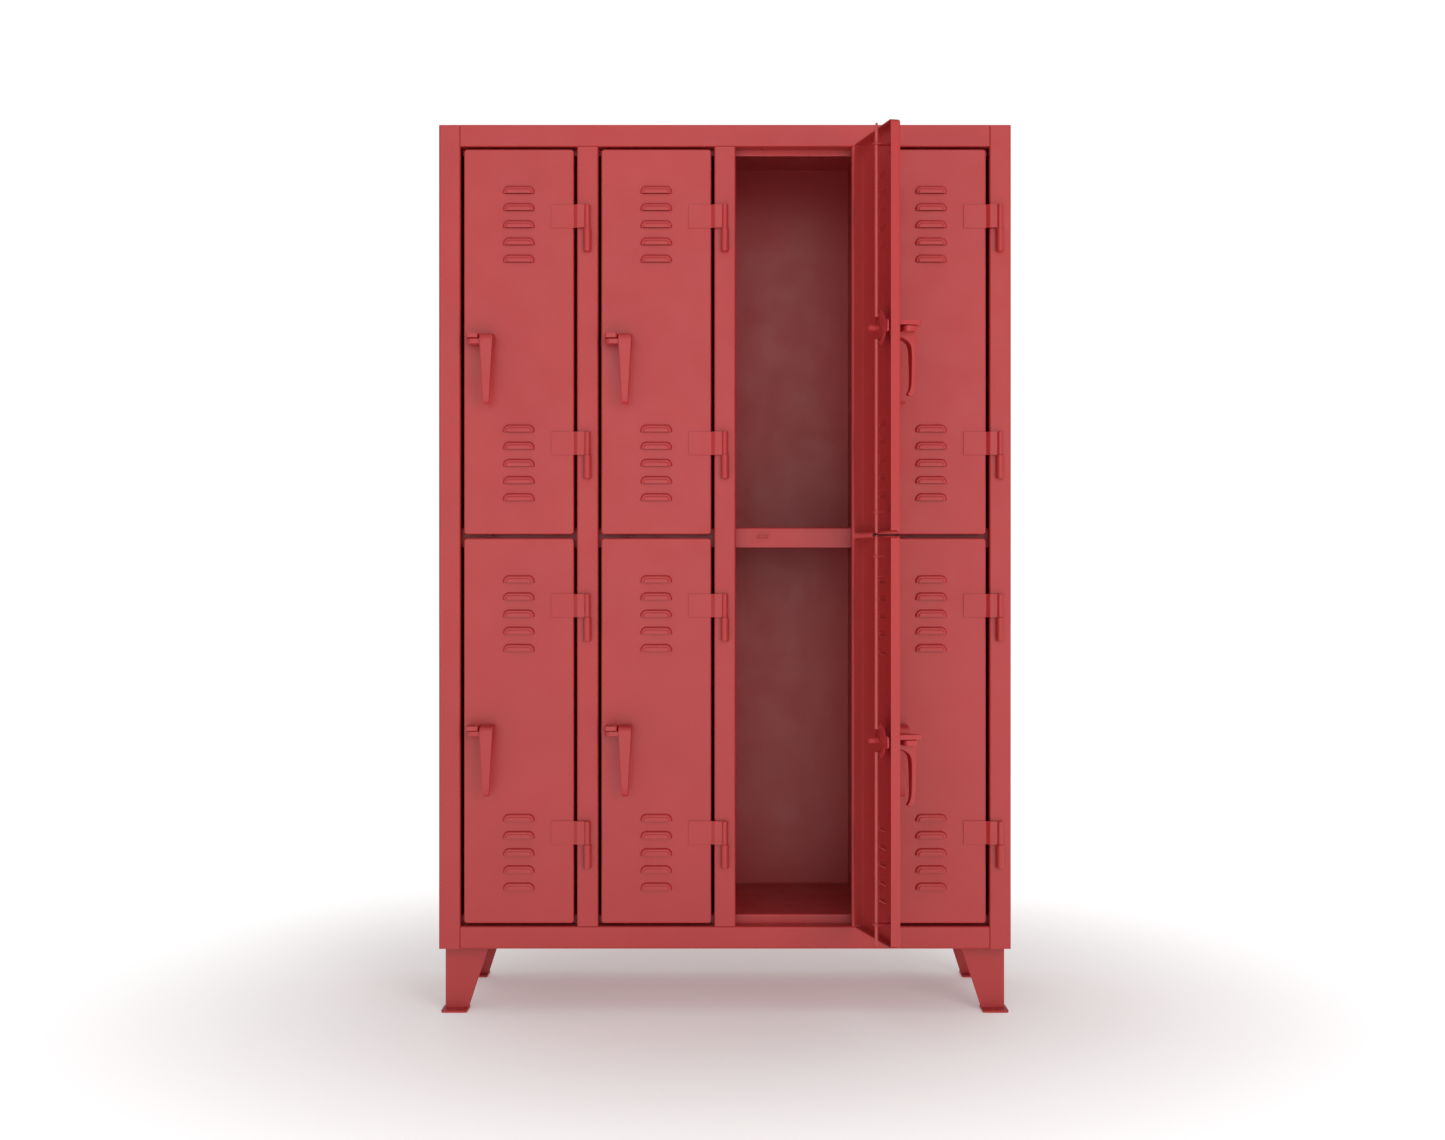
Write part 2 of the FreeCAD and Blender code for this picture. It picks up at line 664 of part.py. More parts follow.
def cam_plate():
    """The plate that draws the rods in, with its tongue, about the spindle's axis."""
    depth = (CAM_FRONT, CAM_FRONT + CAM_THICKNESS)
    half = TONGUE_WIDTH / 2
    tongue = block((-TONGUE_REACH, 0), depth, (-half, half))
    tip = [e for e in edges_along(tongue, Vector(0, 1, 0)) if e.BoundBox.XMax < 1 - TONGUE_REACH]
    tongue = tongue.makeFillet(half / 2, tip)
    plate = rod_along_y(CAM_RADIUS, 0, depth, 0).fuse(tongue)
    square = SPINDLE_SQUARE / 2
    hole = block((-square, square), depth, (-square, square))
    hole = hole.common(rod_along_y(SPINDLE_RADIUS, 0, depth, 0))
    upper = spiral_slot()
    lower = spiral_slot()
    lower.rotate(Vector(0, 0, 0), Vector(0, 1, 0), 180)
    return plate.cut([hole, upper, lower]).removeSplitter()


def nut(start):
    """A hexagon nut on the spindle's thread, from this depth inwards."""
    corner = NUT_ACROSS_FLATS / 2 / math.cos(math.pi / 6)
    points = [(corner * math.cos(k * math.pi / 3), corner * math.sin(k * math.pi / 3)) for k in range(6)]
    hexagon = prism(points, in_front, start, start + NUT_HEIGHT)
    return hexagon.cut(rod_along_y(SPINDLE_THREAD, 0, (start, start + NUT_HEIGHT), 0))


def spindle_sleeve(start):
    """The sleeve between the two nuts."""
    sleeve = rod_along_y(SLEEVE_RADIUS, 0, (start, start + SLEEVE_LENGTH), 0)
    return sleeve.cut(rod_along_y(SPINDLE_THREAD, 0, (start, start + SLEEVE_LENGTH), 0))


def handle():
    """Everything that turns with the lever."""
    cam_back = CAM_FRONT + CAM_THICKNESS
    first_end = cam_back + NUT_HEIGHT
    pieces = [lever(), cam_plate(), nut(cam_back), spindle_sleeve(first_end), nut(first_end + SLEEVE_LENGTH)]
    for piece in pieces:
        piece.translate(Vector(SPINDLE_X, 0, 0))
    return pieces


def top_rod():
    """The rod from the cam to the top of the door, with its pin and its pointed end."""
    tip = DOOR_HEIGHT / 2 + ROD_REACH
    shoulder = tip - ROD_TIP_LENGTH
    bar = rod_along_z(ROD_RADIUS, SPINDLE_X, ROD_Y, (ROD_PIN_REST - ROD_RADIUS, shoulder))
    point = Part.makeCone(ROD_RADIUS, ROD_TIP_RADIUS, ROD_TIP_LENGTH, Vector(SPINDLE_X, ROD_Y, shoulder))
    pin = rod_along_y(ROD_PIN_RADIUS, SPINDLE_X, (CAM_FRONT - 1, ROD_Y), ROD_PIN_REST)
    return [bar.fuse([point, pin]).removeSplitter()]


def bottom_rod():
    """The rod from the cam to the bottom of the door."""
    rod = top_rod()[0]
    rod.rotate(Vector(SPINDLE_X, 0, 0), Vector(0, 1, 0), 180)
    return [rod]


# ---------------------------------------------------------------- parts


def write_node(name, solids):
    """Writes one sub-part, whose solids may be several like pieces."""
    shape = solids[0] if len(solids) == 1 else Part.makeCompound(solids)
    valid = all(piece.isValid() and len(piece.Solids) == 1 for piece in solids)
    print(name, len(solids), "valid" if valid else "NOT VALID", round(shape.Volume / 1000), "cm3")
    shape.exportStep(os.path.join("parts", name + ".step"))


os.makedirs("parts", exist_ok=True)

for make in (side_panels, back_panel, top_panel, header_rail, sill_rail, floor_panel,
             mullions, partitions, shelves, leg_rails, legs, hinge_pintles):
    write_node(make.__name__, make())

DOOR_PIECES = {
    "door": [door_pan()],
    "hinge_straps": hinge_straps(),
    "latch_fittings": latch_fittings(),
    "handle": handle(),
    "top_rod": top_rod(),
    "bottom_rod": bottom_rod(),
}

for tier, tier_centre in TIERS.items():
    for column in COLUMNS:
        for piece_name, solids in DOOR_PIECES.items():
            in_place = [placed(solid, column, tier_centre) for solid in solids]
            write_node(f"{tier}_{piece_name}_{column}", in_place)
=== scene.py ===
"""School locker: the painted steel pieces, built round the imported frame.

Sizes are in millimetres, as a sheet-metal shop would write them, and each piece is scaled to metres as
it is handed over. A door's pieces are drawn about the middle of its face and then put in their column
and tier.
"""

import logging
import math
from dataclasses import dataclass, field
from enum import Enum
from typing import Callable, Iterable, Sequence

import bmesh
import bpy
from bmesh.types import BMEdge, BMesh, BMVert
from mathutils import Matrix, Vector


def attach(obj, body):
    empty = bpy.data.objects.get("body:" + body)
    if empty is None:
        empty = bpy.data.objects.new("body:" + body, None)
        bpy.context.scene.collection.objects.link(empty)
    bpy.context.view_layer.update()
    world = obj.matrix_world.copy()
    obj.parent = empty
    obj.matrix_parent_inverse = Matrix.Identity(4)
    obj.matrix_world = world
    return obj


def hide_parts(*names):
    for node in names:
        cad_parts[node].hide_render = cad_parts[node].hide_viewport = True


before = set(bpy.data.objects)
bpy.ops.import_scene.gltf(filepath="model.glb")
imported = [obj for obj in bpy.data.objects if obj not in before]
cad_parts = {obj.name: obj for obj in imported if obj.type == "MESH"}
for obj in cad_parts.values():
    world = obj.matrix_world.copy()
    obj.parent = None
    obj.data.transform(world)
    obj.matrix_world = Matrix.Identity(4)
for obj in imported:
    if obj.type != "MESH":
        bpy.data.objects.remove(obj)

LOG = logging.getLogger("locker")
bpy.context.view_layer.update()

MM = 0.001
SHEET = 2.66
BEND = 1.6
TINY = 1e-4
SHARP = 50.0

Run = Sequence[tuple[float, float]]
Span = tuple[float, float]


class Slot(Enum):
    """The record's material slots."""

    CABINET = "cabinet_paint"
    DOOR = "door_paint"
    LATCH = "latch_paint"
    ROD = "rod_paint"


class View(Enum):
    """The side from which an outline is drawn, with the axes that its points run along."""

    PLAN = (0, 1, 2)
    SIDE = (1, 2, 0)
    FRONT = (0, 2, 1)

    def point(self, a: float, b: float, along: float) -> Vector:
        """An outline's point in space, at a depth across the view."""
        place = Vector()
        for axis, value in zip(self.value, (a, b, along)):
            place[axis] = value
        return place

    def flat(self, place: Vector) -> tuple[float, float]:
        """The outline's two numbers for a point in space."""
        return place[self.value[0]], place[self.value[1]]


class Tier(Enum):
    """The two tiers of lockers, each with the height of its doors' middles."""

    LOWER = 630.15
    UPPER = 1493.55

    @property
    def word(self) -> str:
        """The tier's word in names."""
        return self.name.lower()


# ---------------------------------------------------------------- finishes


@dataclass(frozen=True)
class PowderCoat:
    """A stoved powder coat: satin, with a fine orange peel and a slow drift in its colour.

    Attributes:
        name: The material's name.
        slot: The record's slot that it stands for; not used.
        colour: Linear base colour.
        roughness: Middle of the roughness range.
        peel: Width of one dimple of the orange peel, in metres.
        depth: Height of the peel, in metres.
        drift: How far the colour drifts, and how far the painted shade darkens the dimples, as a share.
        grain: Strength of the rough casting or drawn surface under the coat.
    """

    name: str
    slot: Slot
    colour: tuple[float, float, float]
    roughness: float = 0.4
    peel: float = 0.0016
    depth: float = 0.00006
    drift: float = 0.045
    grain: float = 0.0

    def material(self) -> bpy.types.Material:
        """Builds the material, or finds it if it is there.

        Returns:
            The Blender material.
        """
        made = bpy.data.materials.get(self.name)
        if made is not None:
            return made
        made = bpy.data.materials.new(self.name)
        made.use_nodes = True
        tree = made.node_tree
        shader = tree.nodes["Principled BSDF"]
        shader.inputs["IOR"].default_value = 1.5
        shader.inputs["Specular IOR Level"].default_value = 0.56
        shader.inputs["Metallic"].default_value = 0.0
        place = tree.nodes.new("ShaderNodeTexCoord").outputs["Object"]
        self._tint(tree, shader, place)
        self._gloss(tree, shader, place)
        self._relief(tree, shader, place)
        return made

    def _noise(self, tree: bpy.types.NodeTree, place: bpy.types.NodeSocket, scale: float, detail: float):
        """A noise pattern on object coordinates.

        Args:
            tree: The material's nodes.
            place: The coordinates to read.
            scale: Repeats per metre.
            detail: Octaves of finer noise.

        Returns:
            The noise's value socket.
        """
        noise = tree.nodes.new("ShaderNodeTexNoise")
        noise.inputs["Scale"].default_value = scale
        noise.inputs["Detail"].default_value = detail
        tree.links.new(place, noise.inputs["Vector"])
        return noise.outputs["Fac"]

    def _tint(self, tree: bpy.types.NodeTree, shader: bpy.types.Node, place: bpy.types.NodeSocket) -> None:
        """The colour, which drifts slowly, with painted shade that darkens it in the dimples of the orange peel.
        """
        ramp = tree.nodes.new("ShaderNodeValToRGB")
        low, high = ramp.color_ramp.elements
        low.position, high.position = 0.3, 0.7
        low.color = (*[c * (1 - self.drift) for c in self.colour], 1)
        high.color = (*[c * (1 + self.drift) for c in self.colour], 1)
        # Painted shade: the fine noise is the one the bump's height is read from, with one more octave, so the
        # colour darkens in the dimples.
        dimple_shade_and_drift = tree.nodes.new("ShaderNodeMath")
        dimple_shade_and_drift.operation = "MULTIPLY_ADD"
        dimple_shade_and_drift.inputs[1].default_value = 0.35
        tree.links.new(self._noise(tree, place, 1 / self.peel, 2), dimple_shade_and_drift.inputs[0])
        slow = tree.nodes.new("ShaderNodeMath")
        slow.operation = "MULTIPLY"
        slow.inputs[1].default_value = 0.65
        tree.links.new(self._noise(tree, place, 5.0, 3), slow.inputs[0])
        tree.links.new(slow.outputs[0], dimple_shade_and_drift.inputs[2])
        tree.links.new(dimple_shade_and_drift.outputs[0], ramp.inputs["Fac"])
        tree.links.new(ramp.outputs["Color"], shader.inputs["Base Color"])

    def _gloss(self, tree: bpy.types.NodeTree, shader: bpy.types.Node, place: bpy.types.NodeSocket) -> None:
        """The roughness, with faint handling marks at the size of a palm."""
        span = tree.nodes.new("ShaderNodeMapRange")
        span.inputs["From Min"].default_value = 0.3
        span.inputs["From Max"].default_value = 0.7
        span.inputs["To Min"].default_value = self.roughness - 0.04
        span.inputs["To Max"].default_value = self.roughness + 0.05
        tree.links.new(self._noise(tree, place, 14.0, 5), span.inputs["Value"])
        tree.links.new(span.outputs["Result"], shader.inputs["Roughness"])

    def _relief(self, tree: bpy.types.NodeTree, shader: bpy.types.Node, place: bpy.types.NodeSocket) -> None:
        """The orange peel, over the grain of a casting where there is one."""
        peel = tree.nodes.new("ShaderNodeBump")
        peel.inputs["Strength"].default_value = 1.0
        peel.inputs["Distance"].default_value = self.depth
        tree.links.new(self._noise(tree, place, 1 / self.peel, 1), peel.inputs["Height"])
        if self.grain:
            cast = tree.nodes.new("ShaderNodeBump")
            cast.inputs["Strength"].default_value = 1.0
            cast.inputs["Distance"].default_value = self.grain
            tree.links.new(self._noise(tree, place, 160.0, 3), cast.inputs["Height"])
            tree.links.new(cast.outputs["Normal"], peel.inputs["Normal"])
        tree.links.new(peel.outputs["Normal"], shader.inputs["Normal"])


RED = (0.44, 0.028, 0.029)
CABINET_COAT = PowderCoat("cabinet_powder_coat", Slot.CABINET, RED)
DOOR_COAT = PowderCoat("door_powder_coat", Slot.DOOR, RED, roughness=0.38)
CAST_COAT = PowderCoat("cast_powder_coat", Slot.LATCH, RED, roughness=0.4, grain=0.0002)
ROD_COAT = PowderCoat("rod_powder_coat", Slot.ROD, (0.5, 0.06, 0.06), roughness=0.36, peel=0.0012)


# ---------------------------------------------------------------- working in sheet and bar


def step(start: Sequence[float], end: Sequence[float]) -> tuple[float, float]:
    """The unit step from one outline point to the next."""
    length = math.dist(start, end)
    return (end[0] - start[0]) / length, (end[1] - start[1]) / length


def verts_of(geometry: Iterable) -> list[BMVert]:
    """The vertices in an operator's result."""
    return [each for each in geometry if isinstance(each, BMVert)]


def edges_at(bm: BMesh, view: View, a: float, b: float) -> list[BMEdge]:
    """The edges that run across a view at one outline point."""
    found = []
    for edge in bm.edges:
        if all(math.dist(view.flat(vert.co), (a, b)) < TINY for vert in edge.verts):
            found.append(edge)
    return found


def rounded(bm: BMesh, edges: list[BMEdge], radius: float, segments: int = 5) -> None:
    """Rounds edges of a mesh.

    Args:
        bm: The mesh.
        edges: The edges to round.
        radius: Setback of the round from each edge.
        segments: Flats in the round.
    """
    bmesh.ops.bevel(bm, geom=edges, offset=radius, offset_type="OFFSET", segments=segments,
                    profile=0.5, affect="EDGES", material=-1, clamp_overlap=True)


def rounded_corners(bm: BMesh, verts: list[BMVert], radius: float, segments: int = 6) -> None:
    """Rounds corners of a flat plate before it has its thickness."""
    bmesh.ops.bevel(bm, geom=verts, offset=radius, offset_type="OFFSET", segments=segments,
                    profile=0.5, affect="VERTICES", material=-1, clamp_overlap=True)


def softened(bm: BMesh, radius: float, segments: int = 2, angle: float = 32.0) -> BMesh:
    """Takes the sharpness off every edge that turns by more than an angle.

    Args:
        bm: A closed mesh.
        radius: Setback of the round.
        segments: Flats in the round.
        angle: Smallest turn that is rounded, in degrees.

    Returns:
        The same mesh.
    """
    bmesh.ops.recalc_face_normals(bm, faces=bm.faces[:])
    limit = math.radians(angle)
    sharp = [e for e in bm.edges if len(e.link_faces) == 2 and e.calc_face_angle() > limit]
    rounded(bm, sharp, radius, segments)
    return bm


def folded(run: Run, view: View, span: Span, thickness: float = SHEET, bend: float = BEND) -> BMesh:
    """A sheet folded along a run of points, not yet given its thickness.

    Args:
        run: Points of the near face. The metal lies on their left.
        view: The side the run is drawn from.
        span: Low and high ends across the view.
        thickness: The sheet's thickness, which the outer radii need.
        bend: Inner radius of each fold.

    Returns:
        A surface whose normals point away from the metal.
    """
    bm = bmesh.new()
    verts = [bm.verts.new(view.point(a, b, span[0])) for a, b in run]
    edges = [bm.edges.new(pair) for pair in zip(verts, verts[1:])]
    grown = bmesh.ops.extrude_edge_only(bm, edges=edges)["geom"]
    bmesh.ops.translate(bm, verts=verts_of(grown), vec=view.point(0, 0, span[1] - span[0]))
    for before, corner, after in zip(run, run[1:], run[2:]):
        into, out = step(before, corner), step(corner, after)
        left = into[0] * out[1] - into[1] * out[0] > 0
        turn = math.acos(into[0] * out[0] + into[1] * out[1])
        radius = bend + thickness if left else bend
        rounded(bm, edges_at(bm, view, *corner), radius * math.tan(turn / 2))
    bmesh.ops.recalc_face_normals(bm, faces=bm.faces[:])
    first = step(run[0], run[1])
    to_left = view.point(-first[1], first[0], 0)
    start = view.point(*run[0], span[0])
    nearest = min(bm.faces, key=lambda face: min((v.co - start).length for v in face.verts))
    if nearest.normal.dot(to_left) > 0:
        bmesh.ops.reverse_faces(bm, faces=bm.faces[:])
    return bm


def thickened(bm: BMesh, thickness: float = SHEET) -> BMesh:
    """Gives a surface its metal, behind its normals."""
    bmesh.ops.solidify(bm, geom=bm.faces[:], thickness=thickness)
    bmesh.ops.recalc_face_normals(bm, faces=bm.faces[:])
    return bm


def plate(outline: Run, view: View, span: Span) -> BMesh:
    """A flat plate cut to an outline.

    Args:
        outline: Corners of the plate.
        view: The side the outline is drawn from.
        span: Low and high faces across the view.

    Returns:
        A closed mesh.
    """
    bm = bmesh.new()
    face = bm.faces.new([bm.verts.new(view.point(a, b, span[0])) for a, b in outline])
    grown = bmesh.ops.extrude_face_region(bm, geom=[face])["geom"]
    bmesh.ops.translate(bm, verts=verts_of(grown), vec=view.point(0, 0, span[1] - span[0]))
    bmesh.ops.recalc_face_normals(bm, faces=bm.faces[:])
    return bm


def block(x: Span, y: Span, z: Span) -> BMesh:
    """A block between low and high ends along each axis."""
    return plate([(x[0], y[0]), (x[1], y[0]), (x[1], y[1]), (x[0], y[1])], View.PLAN, z)


def turned(profile: Run, x: float, y: float, steps: int = 32) -> BMesh:
    """A piece turned about an upright axis.

    Args:
        profile: Radius and height of each point, from one end to the other.
        x: X of the axis.
        y: Y of the axis.
        steps: Flats round the piece.

    Returns:
        A closed mesh.
    """
    bm = bmesh.new()
    verts = [bm.verts.new((x + radius, y, level)) for radius, level in profile]
    edges = [bm.edges.new(pair) for pair in zip(verts, verts[1:])]
    bmesh.ops.spin(bm, geom=verts + edges, cent=(x, y, 0), axis=(0, 0, 1), angle=math.tau,
                   steps=steps, use_merge=True)
    bmesh.ops.remove_doubles(bm, verts=bm.verts[:], dist=TINY)
    bmesh.ops.recalc_face_normals(bm, faces=bm.faces[:])
    return bm


def laid_back(bm: BMesh) -> BMesh:
    """Turns an upright piece so that its top points into the locker, along +Y."""
    bmesh.ops.rotate(bm, verts=bm.verts[:], cent=(0, 0, 0), matrix=Matrix.Rotation(-math.pi / 2, 3, "X"))
    return bm


def moved(bm: BMesh, x: float = 0.0, y: float = 0.0, z: float = 0.0) -> BMesh:
    """Shifts a piece."""
    bmesh.ops.translate(bm, verts=bm.verts[:], vec=(x, y, z))
    return bm


def mirrored(bm: BMesh, axis: int) -> BMesh:
    """A copy of a piece, mirrored through the middle across an axis."""
    twin = bm.copy()
    scale = Vector((1, 1, 1))
    scale[axis] = -1
    bmesh.ops.scale(twin, vec=scale, verts=twin.verts[:])
    bmesh.ops.reverse_faces(twin, faces=twin.faces[:])
    return twin


def gathered(pieces: Sequence[BMesh]) -> BMesh:
    """Puts several meshes into one, and frees them."""
    whole = bmesh.new()
    for bm in pieces:
        mesh = bpy.data.meshes.new("part")
        bm.to_mesh(mesh)
        bm.free()
        whole.from_mesh(mesh)
        bpy.data.meshes.remove(mesh)
    return whole


def worked(base: BMesh, tools: Sequence[BMesh], operation: str = "DIFFERENCE") -> BMesh:
    """Cuts a closed mesh with tools, or joins them to it.

    Args:
        base: The piece, which is freed.
        tools: Closed meshes, which are freed.
        operation: The Boolean modifier's word.

    Returns:
        The result.
    """
    objects = []
    for bm in [base, *tools]:
        mesh = bpy.data.meshes.new("work")
        bm.to_mesh(mesh)
        bm.free()
        each = bpy.data.objects.new("work", mesh)
        bpy.context.scene.collection.objects.link(each)
        objects.append(each)
    for tool in objects[1:]:
        cut = objects[0].modifiers.new("cut", "BOOLEAN")
        cut.object, cut.operation, cut.solver = tool, operation, "EXACT"
    result = objects[0].evaluated_get(bpy.context.evaluated_depsgraph_get()).to_mesh()
    made = bmesh.new()
    made.from_mesh(result)
    for each in objects:
        mesh = each.data
        bpy.data.objects.remove(each)
        bpy.data.meshes.remove(mesh)
    bmesh.ops.remove_doubles(made, verts=made.verts[:], dist=TINY)
    bmesh.ops.dissolve_degenerate(made, dist=TINY, edges=made.edges[:])
    return made


def drill(radius: float, x: float, y: float, z: Span, steps: int = 24) -> BMesh:
    """An upright cutter for a round hole."""
    return turned([(0, z[0]), (radius, z[0]), (radius, z[1]), (0, z[1])], x, y, steps)


def hand_over(bm: BMesh, name: str, coat: PowderCoat, body: str, nodes: Sequence[str] = (),
              levels: int = 0) -> bpy.types.Object:
    """Makes a finished piece of a mesh in metres and puts it on its body.

    Args:
        bm: The mesh, which is freed.
        name: The piece's name.
        coat: Its finish.
        body: The body it rides on.
        nodes: The frame's nodes that it stands for.
        levels: Subdivision levels, if any.

    Returns:
        The piece.
    """
    mesh = bpy.data.meshes.new(name)
    bm.to_mesh(mesh)
    bm.free()
    mesh.materials.append(coat.material())
    mesh.shade_smooth()
    piece = bpy.data.objects.new(name, mesh)
    bpy.context.scene.collection.objects.link(piece)
    if levels:
        smooth = piece.modifiers.new("smooth", "SUBSURF")
        smooth.levels = smooth.render_levels = levels
    else:
        mesh.set_sharp_from_angle(angle=math.radians(SHARP))
    even = piece.modifiers.new("even_shading", "WEIGHTED_NORMAL")
    even.keep_sharp = True
    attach(piece, body)
    if nodes:
        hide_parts(*nodes)
    LOG.info("%s on %s, %d faces", name, body, len(mesh.polygons))
    return piece


def in_metres(bm: BMesh) -> BMesh:
    """Scales a mesh drawn in millimetres to metres."""
    bmesh.ops.scale(bm, vec=(MM, MM, MM), verts=bm.verts[:])
    return bm


# ---------------------------------------------------------------- cabinet


@dataclass
class Cabinet:
    """The welded cabinet: walls, rails, uprights and shelves. Its hinge barrels are made with the doors, and its
    legs by Legs.
    """

    width: float = 1270.0
    depth: float = 457.2
    bottom: float = 146.0
    top: float = 1974.8
    pitch: float = 304.8
    columns: tuple[int, ...] = (1, 2, 3, 4)
    side_flange: float = 48.0
    mullion_width: float = 47.5
    flange_return: float = 16.0
    header_height: float = 48.0
    sill_height: float = 50.0
    lip_setback: float = 39.5
    header_lip: float = 12.7
    web_overlap: float = 5.5
    sill_foot: float = 25.0
    shelf_level: float = 936.0
    shelf_flange: float = 44.5
    rod_x: float = -67.5
    rod_y: float = 34.0
    rod_hole: float = 5.0
    keeper: tuple[float, float, float] = (24.0, 26.0, 2.0)
    body: str = "cabinet"
    edge: float = 0.35

    @property
    def front(self) -> float:
        """Y of the frame's face."""
        return -self.depth / 2

    @property
    def opening(self) -> float:
        """X of the right-hand edge of the opening."""
        return self.width / 2 - self.side_flange

    def centre(self, column: int) -> float:
        """X of a column's middle."""
        return (column - 2.5) * self.pitch

    def uprights(self) -> list[float]:
        """X of the walls between the columns."""
        return [self.centre(column) + self.pitch / 2 for column in self.columns[:-1]]

    def side_panels(self) -> BMesh:
        """Both side walls, folded round at the front."""
        half, back = self.width / 2, self.depth / 2 - SHEET
        run = [(-half, back), (-half, self.front), (-self.opening, self.front)]
        run.append((-self.opening, self.front + self.flange_return))
        left = softened(thickened(folded(run, View.PLAN, (self.bottom, self.top))), self.edge)
        for vert in left.verts:
            if vert.co.z > self.top - 1 and vert.co.y > self.front + 2 * SHEET and vert.co.x > 5 - half:
                vert.co.z -= SHEET + 0.1
        return gathered([mirrored(left, 0), left])

    def rod_cutters(self, level: float) -> list[BMesh]:
        """Cutters for the rod holes through a rail's web."""
        span = (level - 2 * SHEET, level + 2 * SHEET)
        return [drill(self.rod_hole, self.centre(c) + self.rod_x, self.front + self.rod_y, span)
                for c in self.columns]

    def header_rail(self) -> BMesh:
        """The rail over the doors with its stop lip."""
        level, lip = self.top - self.header_height, self.front + self.lip_setback
        run = [(self.front, self.top), (self.front, level), (lip, level), (lip, level - self.header_lip)]
        rail = thickened(folded(run, View.SIDE, (-self.opening, self.opening)))
        return softened(worked(rail, self.rod_cutters(level)), self.edge)

    def sill_rail(self) -> BMesh:
        """The rail under the doors."""
        level, lip = self.bottom + self.sill_height, self.front + self.lip_setback
        run = [(lip + self.web_overlap, level), (self.front, level), (self.front, self.bottom)]
        run.append((self.front + self.sill_foot, self.bottom))
        rail = thickened(folded(run, View.SIDE, (-self.opening, self.opening)))
        return softened(worked(rail, self.rod_cutters(level)), self.edge)

    def mullions(self) -> BMesh:
        """The channel uprights between the doors."""
        half, inside = self.mullion_width / 2, self.front + self.flange_return
        span = (self.bottom + self.sill_height, self.top - self.header_height)
        made = []
        for x in self.uprights():
            run = [(x - half, inside), (x - half, self.front), (x + half, self.front), (x + half, inside)]
            made.append(softened(thickened(folded(run, View.PLAN, span)), self.edge))
        return gathered(made)

    def shelves(self) -> BMesh:
        """The shelf of each column, with the keeper tab that the rods reach."""
        level, lip = self.bottom + self.shelf_level, self.front + self.lip_setback
        run = [(self.depth / 2 - SHEET, level), (lip, level), (lip, level - self.shelf_flange)]
        middle = (Tier.LOWER.value + Tier.UPPER.value) / 2
        wide, start, thick = self.keeper
        made = []
        for column in self.columns:
            left = self.centre(column) - (self.pitch - SHEET) / 2
            right = self.centre(column) + (self.pitch - SHEET) / 2
            if column == self.columns[0]:
                left = -self.width / 2 + SHEET
            if column == self.columns[-1]:
                right = self.width / 2 - SHEET
            made.append(softened(thickened(folded(run, View.SIDE, (left, right))), self.edge))
            x = self.centre(column) + self.rod_x
            tab = block((x - wide / 2, x + wide / 2), (self.front + start, lip + 0.2),
                        (middle - thick / 2, middle + thick / 2))
            rounded(tab, edges_at(tab, View.PLAN, x - wide / 2, self.front + start), 2.5)
            rounded(tab, edges_at(tab, View.PLAN, x + wide / 2, self.front + start), 2.5)
            hole = drill(self.rod_hole, x, self.front + self.rod_y, (middle - thick, middle + thick))
            made.append(softened(worked(tab, [hole]), 0.25))
        return gathered(made)

    def build(self) -> None:
        """Makes the sheet pieces and paints the frame's flat panels."""
        for make in (self.side_panels, self.header_rail, self.sill_rail, self.mullions, self.shelves):
            name = make.__name__
            hand_over(in_metres(make()), f"painted_{name}", CABINET_COAT, self.body, [name])
        for node in ("back_panel", "top_panel", "floor_panel", "partitions", "leg_rails"):
            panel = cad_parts[node]
            panel.data.materials.clear()
            panel.data.materials.append(CABINET_COAT.material())


@dataclass
class Legs:
    """Four legs, each of two tapered gusset plates on a foot plate."""

    width: float = 1270.0
    depth: float = 457.2
    height: float = 146.0
    metal: float = 4.76
    top_width: float = 98.0
    bottom_width: float = 52.0
    side_bottom: float = 33.0
    setback: float = 48.0
    inset: float = 8.0
    foot: tuple[float, float] = (58.0, 64.0)
    foot_setback: float = 17.0
    overhang: float = 6.0
    foot_corner: float = 7.0
    anchor: float = 5.5

    def leg(self) -> BMesh:
        """The front left leg."""
        outer, front, base = -self.width / 2 + self.inset, -self.depth / 2 + self.setback, self.metal
        face = [(outer, base), (outer + self.bottom_width, base)]
        face += [(outer + self.top_width, self.height), (outer, self.height)]
        side = [(front + base, base), (front + self.side_bottom, base)]
        side += [(front + self.top_width, self.height), (front + base, self.height)]
        foot_x, foot_y = outer - self.overhang, -self.depth / 2 + self.foot_setback
        wide, deep = self.foot
        foot = block((foot_x, foot_x + wide), (foot_y, foot_y + deep), (0, base))
        for x in (foot_x, foot_x + wide):
            for y in (foot_y, foot_y + deep):
                rounded(foot, edges_at(foot, View.PLAN, x, y), self.foot_corner)
        hole_x = outer + (self.bottom_width - self.overhang) / 2
        hole_y = -self.depth / 2 + (self.foot_setback + self.setback) / 2
        foot = softened(worked(foot, [drill(self.anchor, hole_x, hole_y, (-1, base + 1))]), 0.5)
        gusset = softened(plate(face, View.FRONT, (front, front + base)), 0.6)
        return gathered([gusset, softened(plate(side, View.SIDE, (outer, outer + base)), 0.6), foot])

    def build(self) -> None:
        """Makes the four legs."""
        leg = self.leg()
        rear = mirrored(leg, 1)
        four = [mirrored(leg, 0), mirrored(rear, 0), leg, rear]
        hand_over(in_metres(gathered(four)), "painted_legs", CABINET_COAT, "cabinet", ["legs"])


# ---------------------------------------------------------------- doors


